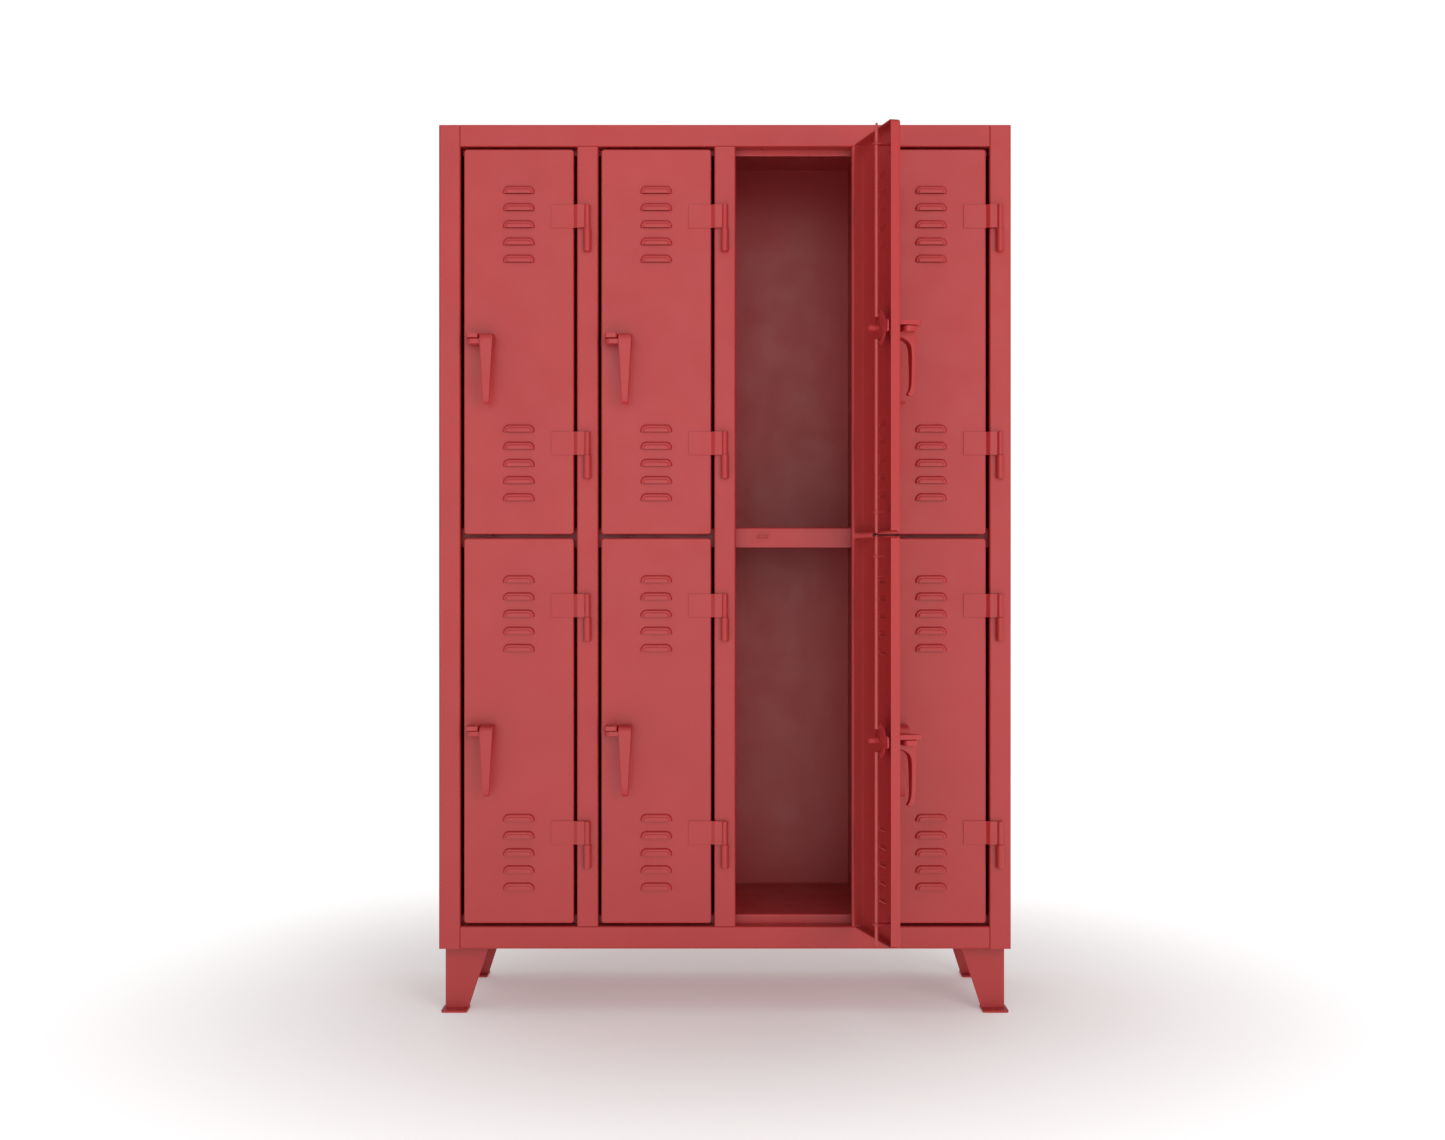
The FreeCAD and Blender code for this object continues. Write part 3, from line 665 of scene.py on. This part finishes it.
@dataclass
class Hinges:
    """Lift-off hinges: a strap with a knuckle on the door, over a barrel with a pin on the frame."""

    offset: float = 152.4
    forward: float = 8.0
    inset: float = 123.5
    length: float = 104.0
    gap: float = 0.3
    knuckle: float = 6.5
    barrel: float = 8.5
    pin: float = 4.0
    clearance: float = 0.05
    pin_reach: float = 46.0
    bore_depth: float = 48.0
    strap: float = 2.5
    on_door: float = 50.0
    joggle: float = 9.0
    strap_bend: float = 2.0
    door_height: float = 854.5
    door_width: float = 244.0

    def levels(self) -> list[float]:
        """Heights of the lower ends of a door's two hinges."""
        half = self.door_height / 2
        return [half - self.inset - self.length, self.inset - half]

    def straps(self) -> BMesh:
        """The door halves of the two hinges."""
        edge, face = self.door_width / 2, -self.forward + self.strap / 2
        run = [(self.offset - self.knuckle / 2, face), (edge + self.joggle, face)]
        run += [(edge + 1, 0), (edge - self.on_door, 0)]
        made = []
        for level in self.levels():
            low, high = level + self.length / 2 + self.gap, level + self.length
            leaf = folded(run, View.PLAN, (low, high), self.strap, self.strap_bend)
            made.append(softened(thickened(leaf, self.strap), 0.3))
            bore = self.pin + self.clearance
            profile = [(0, low + self.bore_depth), (bore, low + self.bore_depth), (bore, low + 0.5)]
            profile += [(bore + 0.5, low), (self.knuckle - 0.5, low), (self.knuckle, low + 0.5)]
            profile += [(self.knuckle, high - 0.9), (self.knuckle - 0.3, high - 0.3)]
            profile += [(self.knuckle - 0.9, high), (0, high)]
            made.append(turned(profile, self.offset, -self.forward))
        return gathered(made)

    def pintles(self) -> BMesh:
        """The frame halves of a door's two hinges."""
        made = []
        for level in self.levels():
            high = level + self.length / 2
            profile = [(0, level), (self.barrel - 0.9, level), (self.barrel - 0.3, level + 0.3)]
            profile += [(self.barrel, level + 0.9), (self.barrel, high - 0.5), (self.barrel - 0.5, high)]
            profile += [(self.pin, high), (self.pin, high + self.pin_reach - 1)]
            profile += [(self.pin - 1, high + self.pin_reach), (0, high + self.pin_reach)]
            barrel = turned(profile, self.offset, -self.forward)
            cut = bmesh.ops.bisect_plane(barrel, geom=[*barrel.verts, *barrel.edges, *barrel.faces],
                                         plane_co=(0, 0, 0), plane_no=(0, 1, 0), clear_outer=True)
            rim = [each for each in cut["geom_cut"] if isinstance(each, BMEdge)]
            bmesh.ops.holes_fill(barrel, edges=rim, sides=0)
            bmesh.ops.recalc_face_normals(barrel, faces=barrel.faces[:])
            made.append(barrel)
        return gathered(made)


@dataclass
class DoorPan:
    """A door: a folded pan with two groups of hooded louvers and relieved corners."""

    width: float = 244.0
    height: float = 854.5
    depth: float = 21.0
    corner: float = 7.0
    edge: float = 3.5
    relief_floor: float = 8.0
    louver: tuple[float, float, float] = (71.0, 17.0, 14.0)
    louver_margin: float = 4.0
    louver_rings: tuple[tuple[float, float], ...] = (
        (0.5, 0.4), (1.4, 2.5), (2.6, 4.9), (3.5, 5.8), (4.7, 6.0), (6.6, 6.1),
        (7.2, 6.3), (7.9, 7.1), (8.7, 7.7), (10.2, 7.9), (12.4, 8.0),
    )
    louver_pitch: float = 38.1
    louvers_in_group: int = 5
    groups_below_top: tuple[float, ...] = (98.4, 627.6)
    spindle_x: float = -67.5
    spindle_hole: float = 6.05

    def louver_levels(self) -> list[float]:
        """Heights of the louvers' open lower edges."""
        return [self.height / 2 - below - index * self.louver_pitch
                for below in self.groups_below_top for index in range(self.louvers_in_group)]

    def shell(self) -> BMesh:
        """The pan's outside: rounded, open at the back, with its corners relieved."""
        w, h = self.width / 2, self.height / 2
        bm = block((-w, w), (0, self.depth), (-h, h))
        for x in (-w, w):
            for z in (-h, h):
                rounded(bm, edges_at(bm, View.FRONT, x, z), self.corner, 6)
        back = [f for f in bm.faces if all(v.co.y > self.depth - TINY for v in f.verts)]
        bmesh.ops.delete(bm, geom=back, context="FACES")
        rim = [e for e in bm.edges if all(v.co.y < TINY for v in e.verts)]
        rounded(bm, rim, self.edge, 5)
        bmesh.ops.bisect_plane(bm, geom=[*bm.verts, *bm.edges, *bm.faces],
                               plane_co=(0, self.relief_floor, 0), plane_no=(0, 1, 0))
        gone = []
        for face in bm.faces:
            middle = face.calc_center_median()
            near_corner = abs(middle.x) > w - self.corner / 2 and abs(middle.z) > h - self.corner / 2
            if middle.y > self.relief_floor and near_corner:
                gone.append(face)
        bmesh.ops.delete(bm, geom=gone, context="FACES")
        return bm

    def hood(self) -> BMesh:
        """One louver pressed in a patch of skin, with its open edge at height 0."""
        wide, high, corner = self.louver
        half, edge_x, edge_z = wide / 2, wide / 2 + self.louver_margin, high + self.louver_margin
        bm = bmesh.new()
        bm.faces.new([bm.verts.new((x, 0, z)) for x, z in
                      ((-half, -high), (half, -high), (half, high), (-half, high))])
        rounded_corners(bm, bm.verts[:], corner, 10)
        bm.normal_update()
        face = bm.faces[:][0]
        if face.normal.y > 0:
            face.normal_flip()
        across = out = 0.0
        for ring_across, ring_out in self.louver_rings:
            bmesh.ops.inset_region(bm, faces=[face], thickness=ring_across - across,
                                   depth=ring_out - out, use_even_offset=True, use_boundary=True)
            across, out = ring_across, ring_out
        bmesh.ops.bisect_plane(bm, geom=[*bm.verts, *bm.edges, *bm.faces], plane_co=(0, 0, 0),
                               plane_no=(0, 0, 1), clear_inner=True)
        outline = [e for e in bm.edges if e.is_boundary and all(abs(v.co.y) < TINY for v in e.verts)]
        ends = sorted((v for v in bm.verts if v.co.z < TINY), key=lambda vert: vert.co.x)
        chain = [ends[0]]
        for x, z in ((-edge_x, 0), (-edge_x, edge_z), (edge_x, edge_z), (edge_x, 0)):
            chain.append(bm.verts.new((x, 0, z)))
        chain.append(ends[-1])
        border = [bm.edges.new(pair) for pair in zip(chain, chain[1:])]
        bmesh.ops.triangle_fill(bm, edges=border + outline, use_beauty=True, normal=(0, -1, 0))
        return bm

    def open_skin(self, bm: BMesh, level: float) -> None:
        """Takes a louver's patch out of the skin, leaving the points that its ends weld to.

        Args:
            bm: The pan's outside.
            level: Height of the louver's open edge.
        """
        wide, high, _ = self.louver
        half, top = wide / 2 + self.louver_margin, high + self.louver_margin
        skin = max((f for f in bm.faces if abs(f.normal.y) > 0.99 and self.holds(f, level + high / 2)),
                   key=lambda face: face.calc_area())
        cuts = [((0, 0, level), (0, 0, 1)), ((0, 0, level + top), (0, 0, 1))]
        cuts += [((x, 0, 0), (1, 0, 0)) for x in (-half, half)]
        for co, no in cuts:
            found = bmesh.ops.bisect_plane(bm, geom=[skin, *skin.edges, *skin.verts], plane_co=co, plane_no=no)
            faces = [each for each in found["geom"] if isinstance(each, bmesh.types.BMFace)]
            skin = next(f for f in faces if self.inside(f, level))
        mouth = next(e for e in skin.edges if all(abs(v.co.z - level) < TINY for v in e.verts))
        near, far = sorted(mouth.verts, key=lambda vert: vert.co.x)
        bmesh.utils.edge_split(mouth, near, self.louver_margin / (2 * half))
        mouth = next(e for e in far.link_edges if all(abs(v.co.z - level) < TINY for v in e.verts) and e in skin.edges[:])
        bmesh.utils.edge_split(mouth, far, self.louver_margin / (2 * half - self.louver_margin))
        bmesh.ops.delete(bm, geom=[skin], context="FACES_ONLY")

    def holds(self, face: bmesh.types.BMFace, level: float) -> bool:
        """Whether a face spans the height of a louver."""
        levels = [v.co.z for v in face.verts]
        return min(levels) < level < max(levels)

    def inside(self, face: bmesh.types.BMFace, level: float) -> bool:
        """Whether a face still holds the middle of a louver."""
        middle = level + self.louver[1] / 2
        xs, zs = [v.co.x for v in face.verts], [v.co.z for v in face.verts]
        return min(xs) < 0 < max(xs) and min(zs) < middle < max(zs)

    def pan(self) -> BMesh:
        """The whole door pan."""
        bm = self.shell()
        bm.normal_update()
        hood = self.hood()
        patches = []
        for level in self.louver_levels():
            self.open_skin(bm, level)
            patches.append(moved(hood.copy(), z=level))
        hood.free()
        bm = gathered([bm, *patches])
        bmesh.ops.remove_doubles(bm, verts=bm.verts[:], dist=0.01)
        bmesh.ops.recalc_face_normals(bm, faces=bm.faces[:])
        skin = max(bm.faces, key=lambda face: face.calc_area())
        if skin.normal.y > 0:
            bmesh.ops.reverse_faces(bm, faces=bm.faces[:])
        thickened(bm)
        hole = laid_back(drill(self.spindle_hole, 0, 0, (-2, 2 * SHEET)))
        bm = worked(bm, [moved(hole, x=self.spindle_x)])
        return softened(bm, 0.3, angle=50)


@dataclass
class Fittings:
    """What is welded to a door for the latch: the padlock hasp and two rod guides."""

    hasp_x: Span = (-111.5, -84.5)
    hasp_z: Span = (4.0, 13.5)
    hasp_reach: float = 50.0
    hasp_corner: float = 5.0
    padlock: float = 5.5
    padlock_y: float = -31.0
    guide_x: float = -67.5
    guide_level: float = 385.25
    guide_width: float = 17.0
    guide_bore: float = 4.25
    guide_foot: float = 16.0
    rod_y: float = 34.0

    def hasp(self) -> BMesh:
        """The plate that a padlock's shackle goes through."""
        bm = block(self.hasp_x, (-self.hasp_reach, 0.4), self.hasp_z)
        for x in self.hasp_x:
            rounded(bm, edges_at(bm, View.PLAN, x, -self.hasp_reach), self.hasp_corner)
        span = (self.hasp_z[0] - 1, self.hasp_z[1] + 1)
        hole = drill(self.padlock, sum(self.hasp_x) / 2, self.padlock_y, span)
        return softened(worked(bm, [hole]), 0.8, 3)

    def guide(self) -> BMesh:
        """The upper rod guide: a folded tab with a round end and a hole."""
        half, end = self.guide_width / 2, self.rod_y + self.guide_width / 2
        low = self.guide_level - SHEET / 2
        run = [(end, low), (SHEET, low), (SHEET, low - self.guide_foot + SHEET / 2)]
        across = (self.guide_x - half, self.guide_x + half)
        bm = folded(run[::-1], View.SIDE, across, SHEET, 1.2)
        corners = [v for v in bm.verts if abs(v.co.y - end) < TINY]
        rounded_corners(bm, corners, half - 0.05, 8)
        bmesh.ops.reverse_faces(bm, faces=bm.faces[:])
        bm = thickened(bm)
        level = sum(v.co.z for v in bm.verts if v.co.y > self.rod_y) / sum(
            1 for v in bm.verts if v.co.y > self.rod_y)
        moved(bm, z=self.guide_level - level)
        hole = drill(self.guide_bore, self.guide_x, self.rod_y, (self.guide_level - 5, self.guide_level + 5))
        return softened(worked(bm, [hole]), 0.3)

    def fittings(self) -> BMesh:
        """The hasp and both guides."""
        upper = self.guide()
        return gathered([self.hasp(), mirrored(upper, 2), upper])


# ---------------------------------------------------------------- latch


@dataclass
class Lever:
    """The cast lever with its hub, its lug for a padlock, and its spindle."""

    x: float = -67.5
    hub: float = 15.5
    tip: float = 7.0
    length: float = 142.0
    lug_x: Span = (-111.5, -75.0)
    lug_y: Span = (-43.0, -13.0)
    lug_z: Span = (-9.0, 2.5)
    padlock_x: float = -98.0
    padlock_y: float = -31.0
    padlock: float = 5.5
    spindle: float = 6.0
    cam_front: float = 26.5
    cam_back: float = 29.5
    thread: float = 4.0
    end: float = 53.0
    pitch: float = 1.25
    sections: tuple[tuple[float, float, float, float], ...] = (
        (-40.0, 14.6, -0.5, 15.2),
        (-47.0, 10.5, -0.5, 9.0),
        (-49.8, 3.0, -0.5, 0.0),
        (-50.0, -8.0, -0.5, -9.0),
        (-50.0, -15.0, -3.0, -16.0),
        (-50.0, -22.0, -16.0, -19.5),
        (-50.0, -29.0, -29.0, -25.0),
        (-50.0, -38.0, -37.0, -33.5),
        (-50.0, -52.0, -39.7, -48.0),
        (-50.0, -80.0, -40.0, -80.0),
        (-50.0, -108.0, -40.0, -107.0),
        (-49.0, -125.0, -39.3, -120.0),
        (-46.0, -136.0, -36.8, -130.5),
        (-38.0, -142.0, -31.5, -137.0),
    )

    def half_width(self, z: float) -> float:
        """Half the lever's width at a height."""
        return self.hub - 0.5 if z >= 0 else self.hub - 0.5 + (self.tip - self.hub + 0.5) * -z / self.length

    def section(self, index: int) -> list[Vector]:
        """The four corners of one of the arm's sections."""
        outer_y, outer_z, inner_y, inner_z = self.sections[index]
        wide, near = self.half_width(outer_z), self.half_width(inner_z)
        return [Vector((-wide, outer_y, outer_z)), Vector((wide, outer_y, outer_z)),
                Vector((near, inner_y, inner_z)), Vector((-near, inner_y, inner_z))]

    def arm(self) -> BMesh:
        """The arm and hub, drawn out section by section."""
        bm = bmesh.new()
        face = bm.faces.new([bm.verts.new(corner) for corner in self.section(0)])
        for index in range(1, len(self.sections)):
            face = bmesh.ops.extrude_discrete_faces(bm, faces=[face])["faces"][0]
            for vert, before, corner in zip(face.verts, self.section(index - 1), self.section(index)):
                assert (vert.co - before).length < TINY
                vert.co = corner
        bmesh.ops.holes_fill(bm, edges=bm.edges[:], sides=4)
        bmesh.ops.recalc_face_normals(bm, faces=bm.faces[:])
        limit = math.radians(50)
        rounded(bm, [e for e in bm.edges if e.calc_face_angle(0) > limit], 2.6, 3)
        return bm

    def lug(self) -> BMesh:
        """The lug under the hasp, with the second padlock hole."""
        bm = block(self.lug_x, self.lug_y, self.lug_z)
        for y in self.lug_y:
            rounded(bm, edges_at(bm, View.PLAN, self.lug_x[0], y), 12.0, 8)
        hole = drill(self.padlock, self.padlock_x, self.padlock_y, (self.lug_z[0] - 1, self.lug_z[1] + 1))
        return softened(worked(bm, [hole]), 1.2, 3)

    def shaft(self) -> BMesh:
        """The spindle, down to its threaded end."""
        profile = [(0, -2), (self.spindle, -2), (self.spindle, self.cam_back - 0.4)]
        profile += [(self.thread, self.cam_back - 0.4), (self.thread, self.end - 10)]
        level = self.end - 10
        while level < self.end - 2.5:
            profile += [(self.thread - 0.55, level + self.pitch / 2), (self.thread, level + self.pitch)]
            level += self.pitch
        profile += [(self.thread, self.end - 0.8), (self.thread - 0.8, self.end), (0, self.end)]
        return moved(laid_back(turned(profile, 0, 0, 24)), x=self.x)

    def build(self) -> tuple[BMesh, BMesh]:
        """The lever's smooth arm, and its lug with the shaft."""
        return moved(self.arm(), x=self.x), gathered([self.lug(), self.shaft()])


@dataclass
class Cam:
    """The cam plate that draws the rods in, held on the spindle by two nuts and a sleeve."""

    x: float = -67.5
    front: float = 26.5
    thickness: float = 3.0
    radius: float = 38.0
    reach: float = 57.0
    tongue: float = 26.0
    travel: float = 13.0
    rest: float = 27.7
    slot: float = 6.6
    flats: float = 13.0
    nut_height: float = 6.5
    sleeve: float = 7.0
    sleeve_length: float = 8.5
    thread: float = 4.0

    def spiral(self, turn: float) -> BMesh:
        """A cutter for one slot, whose distance from the spindle shrinks evenly over a quarter turn."""
        bm = bmesh.new()
        depth = (self.front - 1, self.front + self.thickness + 1)
        verts = []
        for index in range(17):
            share = index / 16
            angle = math.radians(90 - 90 * share + turn)
            out = self.rest - self.travel * share
            verts.append(bm.verts.new((out * math.cos(angle), depth[0], out * math.sin(angle))))
        edges = [bm.edges.new(pair) for pair in zip(verts, verts[1:])]
        grown = bmesh.ops.extrude_edge_only(bm, edges=edges)["geom"]
        bmesh.ops.translate(bm, verts=verts_of(grown), vec=(0, depth[1] - depth[0], 0))
        bmesh.ops.recalc_face_normals(bm, faces=bm.faces[:])
        bm.normal_update()
        for vert in bm.verts:
            vert.co += vert.normal * self.slot / 2
        bmesh.ops.solidify(bm, geom=bm.faces[:], thickness=self.slot)
        bmesh.ops.recalc_face_normals(bm, faces=bm.faces[:])
        return bm

    def disc(self) -> BMesh:
        """The plate with its tongue and slots."""
        back = self.front + self.thickness
        half, corner = self.tongue / 2, self.tongue / 4
        plate_disc = laid_back(drill(self.radius, 0, 0, (self.front, back), 64))
        tongue = plate([(-self.reach, -half), (0, -half), (0, half), (-self.reach, half)], View.FRONT,
                       (self.front, back))
        for z in (-half, half):
            rounded(tongue, edges_at(tongue, View.FRONT, -self.reach, z), corner)
        cam = worked(plate_disc, [tongue], "UNION")
        ends = []
        for out, angle in ((self.rest, 90), (self.rest - self.travel, 0)):
            for turn in (0, 180):
                place = math.radians(angle + turn)
                end = laid_back(drill(self.slot / 2, 0, 0, (self.front - 1, back + 1), 16))
                ends.append(moved(end, x=out * math.cos(place), z=out * math.sin(place)))
        cam = worked(cam, [self.spiral(0), self.spiral(180), *ends])
        return softened(cam, 0.3, angle=50)

    def nut(self, start: float) -> BMesh:
        """A hexagon nut with its corners turned off."""
        corner = self.flats / 2 / math.cos(math.pi / 6)
        profile = [(0, 0), (corner - 0.9, 0), (corner + 0.05, 0.55), (corner + 0.05, self.nut_height - 0.55)]
        profile += [(corner - 0.9, self.nut_height), (0, self.nut_height)]
        hexagon = bmesh.new()
        bmesh.ops.create_cone(hexagon, cap_ends=True, segments=6, radius1=corner, radius2=corner,
                              depth=self.nut_height)
        moved(hexagon, z=self.nut_height / 2)
        made = worked(hexagon, [turned(profile, 0, 0, 36)], "INTERSECT")
        return moved(laid_back(softened(made, 0.2, angle=25)), y=start)

    def collar(self, start: float) -> BMesh:
        """The sleeve between the nuts."""
        edge, length = self.sleeve, self.sleeve_length
        profile = [(0, 0), (edge - 0.6, 0), (edge, 0.6), (edge, length - 0.6), (edge - 0.6, length), (0, length)]
        return moved(laid_back(turned(profile, 0, 0)), y=start)

    def build(self) -> BMesh:
        """The cam plate with its nuts and sleeve."""
        start = self.front + self.thickness
        second = start + self.nut_height
        parts = [self.disc(), self.nut(start), self.collar(second), self.nut(second + self.sleeve_length)]
        return moved(gathered(parts), x=self.x)


@dataclass
class Rods:
    """The two rods that run from the cam to the ends of the door."""

    x: float = -67.5
    y: float = 34.0
    radius: float = 4.15
    tip_radius: float = 2.0
    tip_length: float = 9.0
    end: float = 429.75
    start: float = 23.55
    pin_level: float = 27.7
    pin: float = 3.0
    pin_front: float = 25.5

    def upper(self) -> BMesh:
        """The upper rod with its pin and pointed end."""
        shoulder = self.end - self.tip_length
        profile = [(0, self.start), (self.radius - 0.6, self.start), (self.radius, self.start + 0.6)]
        profile += [(self.radius, shoulder - 0.4), (self.radius - 0.15, shoulder + 0.4)]
        profile += [(self.tip_radius, self.end - 0.4), (self.tip_radius - 0.5, self.end), (0, self.end)]
        bar = turned(profile, self.x, self.y, 24)
        reach = self.y - self.pin_front
        pin = laid_back(turned([(0, 0), (self.pin - 0.4, 0), (self.pin, 0.4), (self.pin, reach), (0, reach)],
                               0, 0, 20))
        return gathered([bar, moved(pin, x=self.x, y=self.pin_front, z=self.pin_level)])

    def build(self) -> tuple[BMesh, BMesh]:
        """The upper rod, and the lower one, which is the upper one turned over."""
        upper = self.upper()
        lower = upper.copy()
        bmesh.ops.rotate(lower, verts=lower.verts[:], cent=(self.x, 0, 0), matrix=Matrix.Rotation(math.pi, 3, "Y"))
        return upper, lower


@dataclass
class Place:
    """Where one door hangs."""

    tier: Tier
    column: int
    pitch: float = 304.8
    front: float = -228.6
    forward: float = 8.0
    open_column: int = 3
    open_angle: float = 104.0

    def name(self, word: str) -> str:
        """The name of this door's piece or body."""
        return f"{self.tier.word}_{word}_{self.column}"

    def matrix(self, swings: bool = True) -> Matrix:
        """From the door's own millimetres to metres in the room."""
        x = (self.column - 2.5) * self.pitch
        shift = Matrix.Translation((x, self.front, self.tier.value))
        turn = Matrix.Identity(4)
        if swings and self.column == self.open_column:
            hinge = Matrix.Translation((x + self.pitch / 2, self.front - self.forward, 0))
            turn = hinge @ Matrix.Rotation(math.radians(self.open_angle), 4, "Z") @ hinge.inverted()
        return Matrix.Scale(MM, 4) @ turn @ shift

    def placed(self, bm: BMesh, swings: bool = True) -> BMesh:
        """A copy of a door's piece, in its place."""
        twin = bm.copy()
        bmesh.ops.transform(twin, matrix=self.matrix(swings), verts=twin.verts[:])
        return twin


@dataclass
class Doors:
    """All eight doors with their hinges and latches."""

    hinges: Hinges = field(default_factory=Hinges)
    pan: DoorPan = field(default_factory=DoorPan)
    fittings: Fittings = field(default_factory=Fittings)
    lever: Lever = field(default_factory=Lever)
    cam: Cam = field(default_factory=Cam)
    rods: Rods = field(default_factory=Rods)

    def build(self) -> None:
        """Draws each piece once and hangs a copy on every door."""
        arm, lug = self.lever.build()
        upper, lower = self.rods.build()
        drawn = [
            ("door_pan", self.pan.pan(), DOOR_COAT, "door", ["door"], 0),
            ("hinge_leaves", self.hinges.straps(), DOOR_COAT, "door", ["hinge_straps"], 0),
            ("hasp_and_guides", self.fittings.fittings(), DOOR_COAT, "door", ["latch_fittings"], 0),
            ("lever_arm", arm, CAST_COAT, "handle", ["handle"], 2),
            ("lever_lug", lug, CAST_COAT, "handle", [], 0),
            ("cam_and_nuts", self.cam.build(), CAST_COAT, "handle", [], 0),
            ("upper_bar", upper, ROD_COAT, "top_rod", ["top_rod"], 0),
            ("lower_bar", lower, ROD_COAT, "bottom_rod", ["bottom_rod"], 0),
        ]
        pintles = self.hinges.pintles()
        frame_side = []
        for tier in Tier:
            for column in (1, 2, 3, 4):
                place = Place(tier, column)
                frame_side.append(place.placed(pintles, swings=False))
                for word, bm, coat, body, nodes, levels in drawn:
                    hand_over(place.placed(bm), place.name(word), coat, place.name(body),
                              [place.name(node) for node in nodes], levels)
        hand_over(gathered(frame_side), "hinge_barrels", CABINET_COAT, "cabinet", ["hinge_pintles"])


# ---------------------------------------------------------------- studio


@dataclass
class Studio:
    """Camera, soft lights and a plain pale floor."""

    camera_place: tuple[float, float, float] = (-0.0054, -4.3436, 0.987)
    lens: float = 46.2
    sky: float = 0.24
    overhead: float = 0.34
    in_front: float = 1.9
    backdrop: float = 1.05
    floor_shade: tuple[float, float, float] = (0.9, 0.885, 0.885)
    fade: Span = (0.35, 2.1)
    glow: Span = (0.2, 0.66)

    def camera(self) -> None:
        """The camera, level and square to the doors."""
        data = bpy.data.cameras.new("camera")
        data.lens, data.sensor_width = self.lens, 36.0
        data.clip_start, data.clip_end = 0.05, 100.0
        camera = bpy.data.objects.new("camera", data)
        camera.location = self.camera_place
        camera.rotation_euler = (math.pi / 2, 0, 0)
        bpy.context.scene.collection.objects.link(camera)
        bpy.context.scene.camera = camera

    def lamp(self, name: str, place: Sequence[float], target: Sequence[float], size: float, power: float) -> None:
        """A large soft lamp.

        Args:
            name: The lamp's name.
            place: Where it hangs, in metres.
            target: What it points at.
            size: Its width.
            power: Its power in watts.
        """
        data = bpy.data.lights.new(name, "AREA")
        data.shape, data.size, data.energy = "DISK", size, power
        lamp = bpy.data.objects.new(name, data)
        lamp.visible_glossy = False
        lamp.location = place
        lamp.rotation_euler = (Vector(target) - Vector(place)).to_track_quat("-Z", "Y").to_euler()
        bpy.context.scene.collection.objects.link(lamp)

    def floor(self) -> None:
        """A wide pale floor with painted light: it glows weakly near the middle and more strongly further out."""
        bm = bmesh.new()
        bmesh.ops.create_grid(bm, x_segments=1, y_segments=1, size=30.0)
        mesh = bpy.data.meshes.new("floor")
        bm.to_mesh(mesh)
        bm.free()
        floor = bpy.data.objects.new("floor", mesh)
        bpy.context.scene.collection.objects.link(floor)
        paint = bpy.data.materials.new("floor_paint")
        paint.use_nodes = True
        shader = paint.node_tree.nodes["Principled BSDF"]
        shader.inputs["Base Color"].default_value = (*self.floor_shade, 1)
        shader.inputs["Roughness"].default_value = 0.9
        shader.inputs["Specular IOR Level"].default_value = 0.1
        tree = paint.node_tree
        # Painted light: the floor's glow grows with its distance from the middle, so it fades into the white
        # backdrop.
        distance = tree.nodes.new("ShaderNodeVectorMath")
        distance.operation = "LENGTH"
        tree.links.new(tree.nodes.new("ShaderNodeTexCoord").outputs["Object"], distance.inputs[0])
        fade = tree.nodes.new("ShaderNodeMapRange")
        fade.interpolation_type = "SMOOTHSTEP"
        fade.inputs["From Min"].default_value, fade.inputs["From Max"].default_value = self.fade
        fade.inputs["To Min"].default_value, fade.inputs["To Max"].default_value = self.glow
        tree.links.new(distance.outputs["Value"], fade.inputs["Value"])
        shader.inputs["Emission Color"].default_value = (1, 1, 1, 1)
        tree.links.new(fade.outputs["Result"], shader.inputs["Emission Strength"])
        mesh.materials.append(paint)

    def world(self) -> bpy.types.World:
        """White all round: even where the camera sees it, and as a light brighter overhead and in front."""
        world = bpy.data.worlds.new("studio")
        world.use_nodes = True
        tree = world.node_tree
        background = tree.nodes["Background"]
        background.inputs["Color"].default_value = (1, 1, 1, 1)
        parts = tree.nodes.new("ShaderNodeSeparateXYZ")
        tree.links.new(tree.nodes.new("ShaderNodeTexCoord").outputs["Generated"], parts.inputs["Vector"])

        def sum_of(operation: str, first: object, second: object, third: float = 0.0) -> bpy.types.NodeSocket:
            """One step of arithmetic on sockets or numbers."""
            node = tree.nodes.new("ShaderNodeMath")
            node.operation = operation
            for socket, value in zip(node.inputs, (first, second, third)):
                if isinstance(value, float):
                    socket.default_value = value
                else:
                    tree.links.new(value, socket)
            return node.outputs[0]

        overhead = sum_of("MULTIPLY_ADD", sum_of("MAXIMUM", parts.outputs["Z"], 0.0), self.overhead, self.sky)
        forward = sum_of("MAXIMUM", sum_of("MULTIPLY", parts.outputs["Y"], -1.0), 0.0)
        in_front = sum_of("MULTIPLY", sum_of("POWER", forward, 10.0), self.in_front)
        light = sum_of("ADD", overhead, in_front)
        seen = tree.nodes.new("ShaderNodeMix")
        seen.inputs["B"].default_value = self.backdrop
        tree.links.new(tree.nodes.new("ShaderNodeLightPath").outputs["Is Camera Ray"], seen.inputs["Factor"])
        tree.links.new(light, seen.inputs["A"])
        tree.links.new(seen.outputs["Result"], background.inputs["Strength"])
        return world

    def build(self) -> None:
        """Sets up the studio."""
        bpy.context.scene.world = self.world()
        bpy.context.scene.view_settings.view_transform = "Standard"
        self.camera()
        self.floor()
        self.lamp("key", (2.6, -5.4, 2.2), (0, 0, 0.9), 3.0, 80)
        LOG.info("studio ready")


def main() -> None:
    """Builds the locker and the studio."""
    logging.basicConfig(level=logging.INFO, format="%(name)s: %(message)s")
    Studio().build()
    Cabinet().build()
    Legs().build()
    Doors().build()


if __name__ == "__main__":
    main()
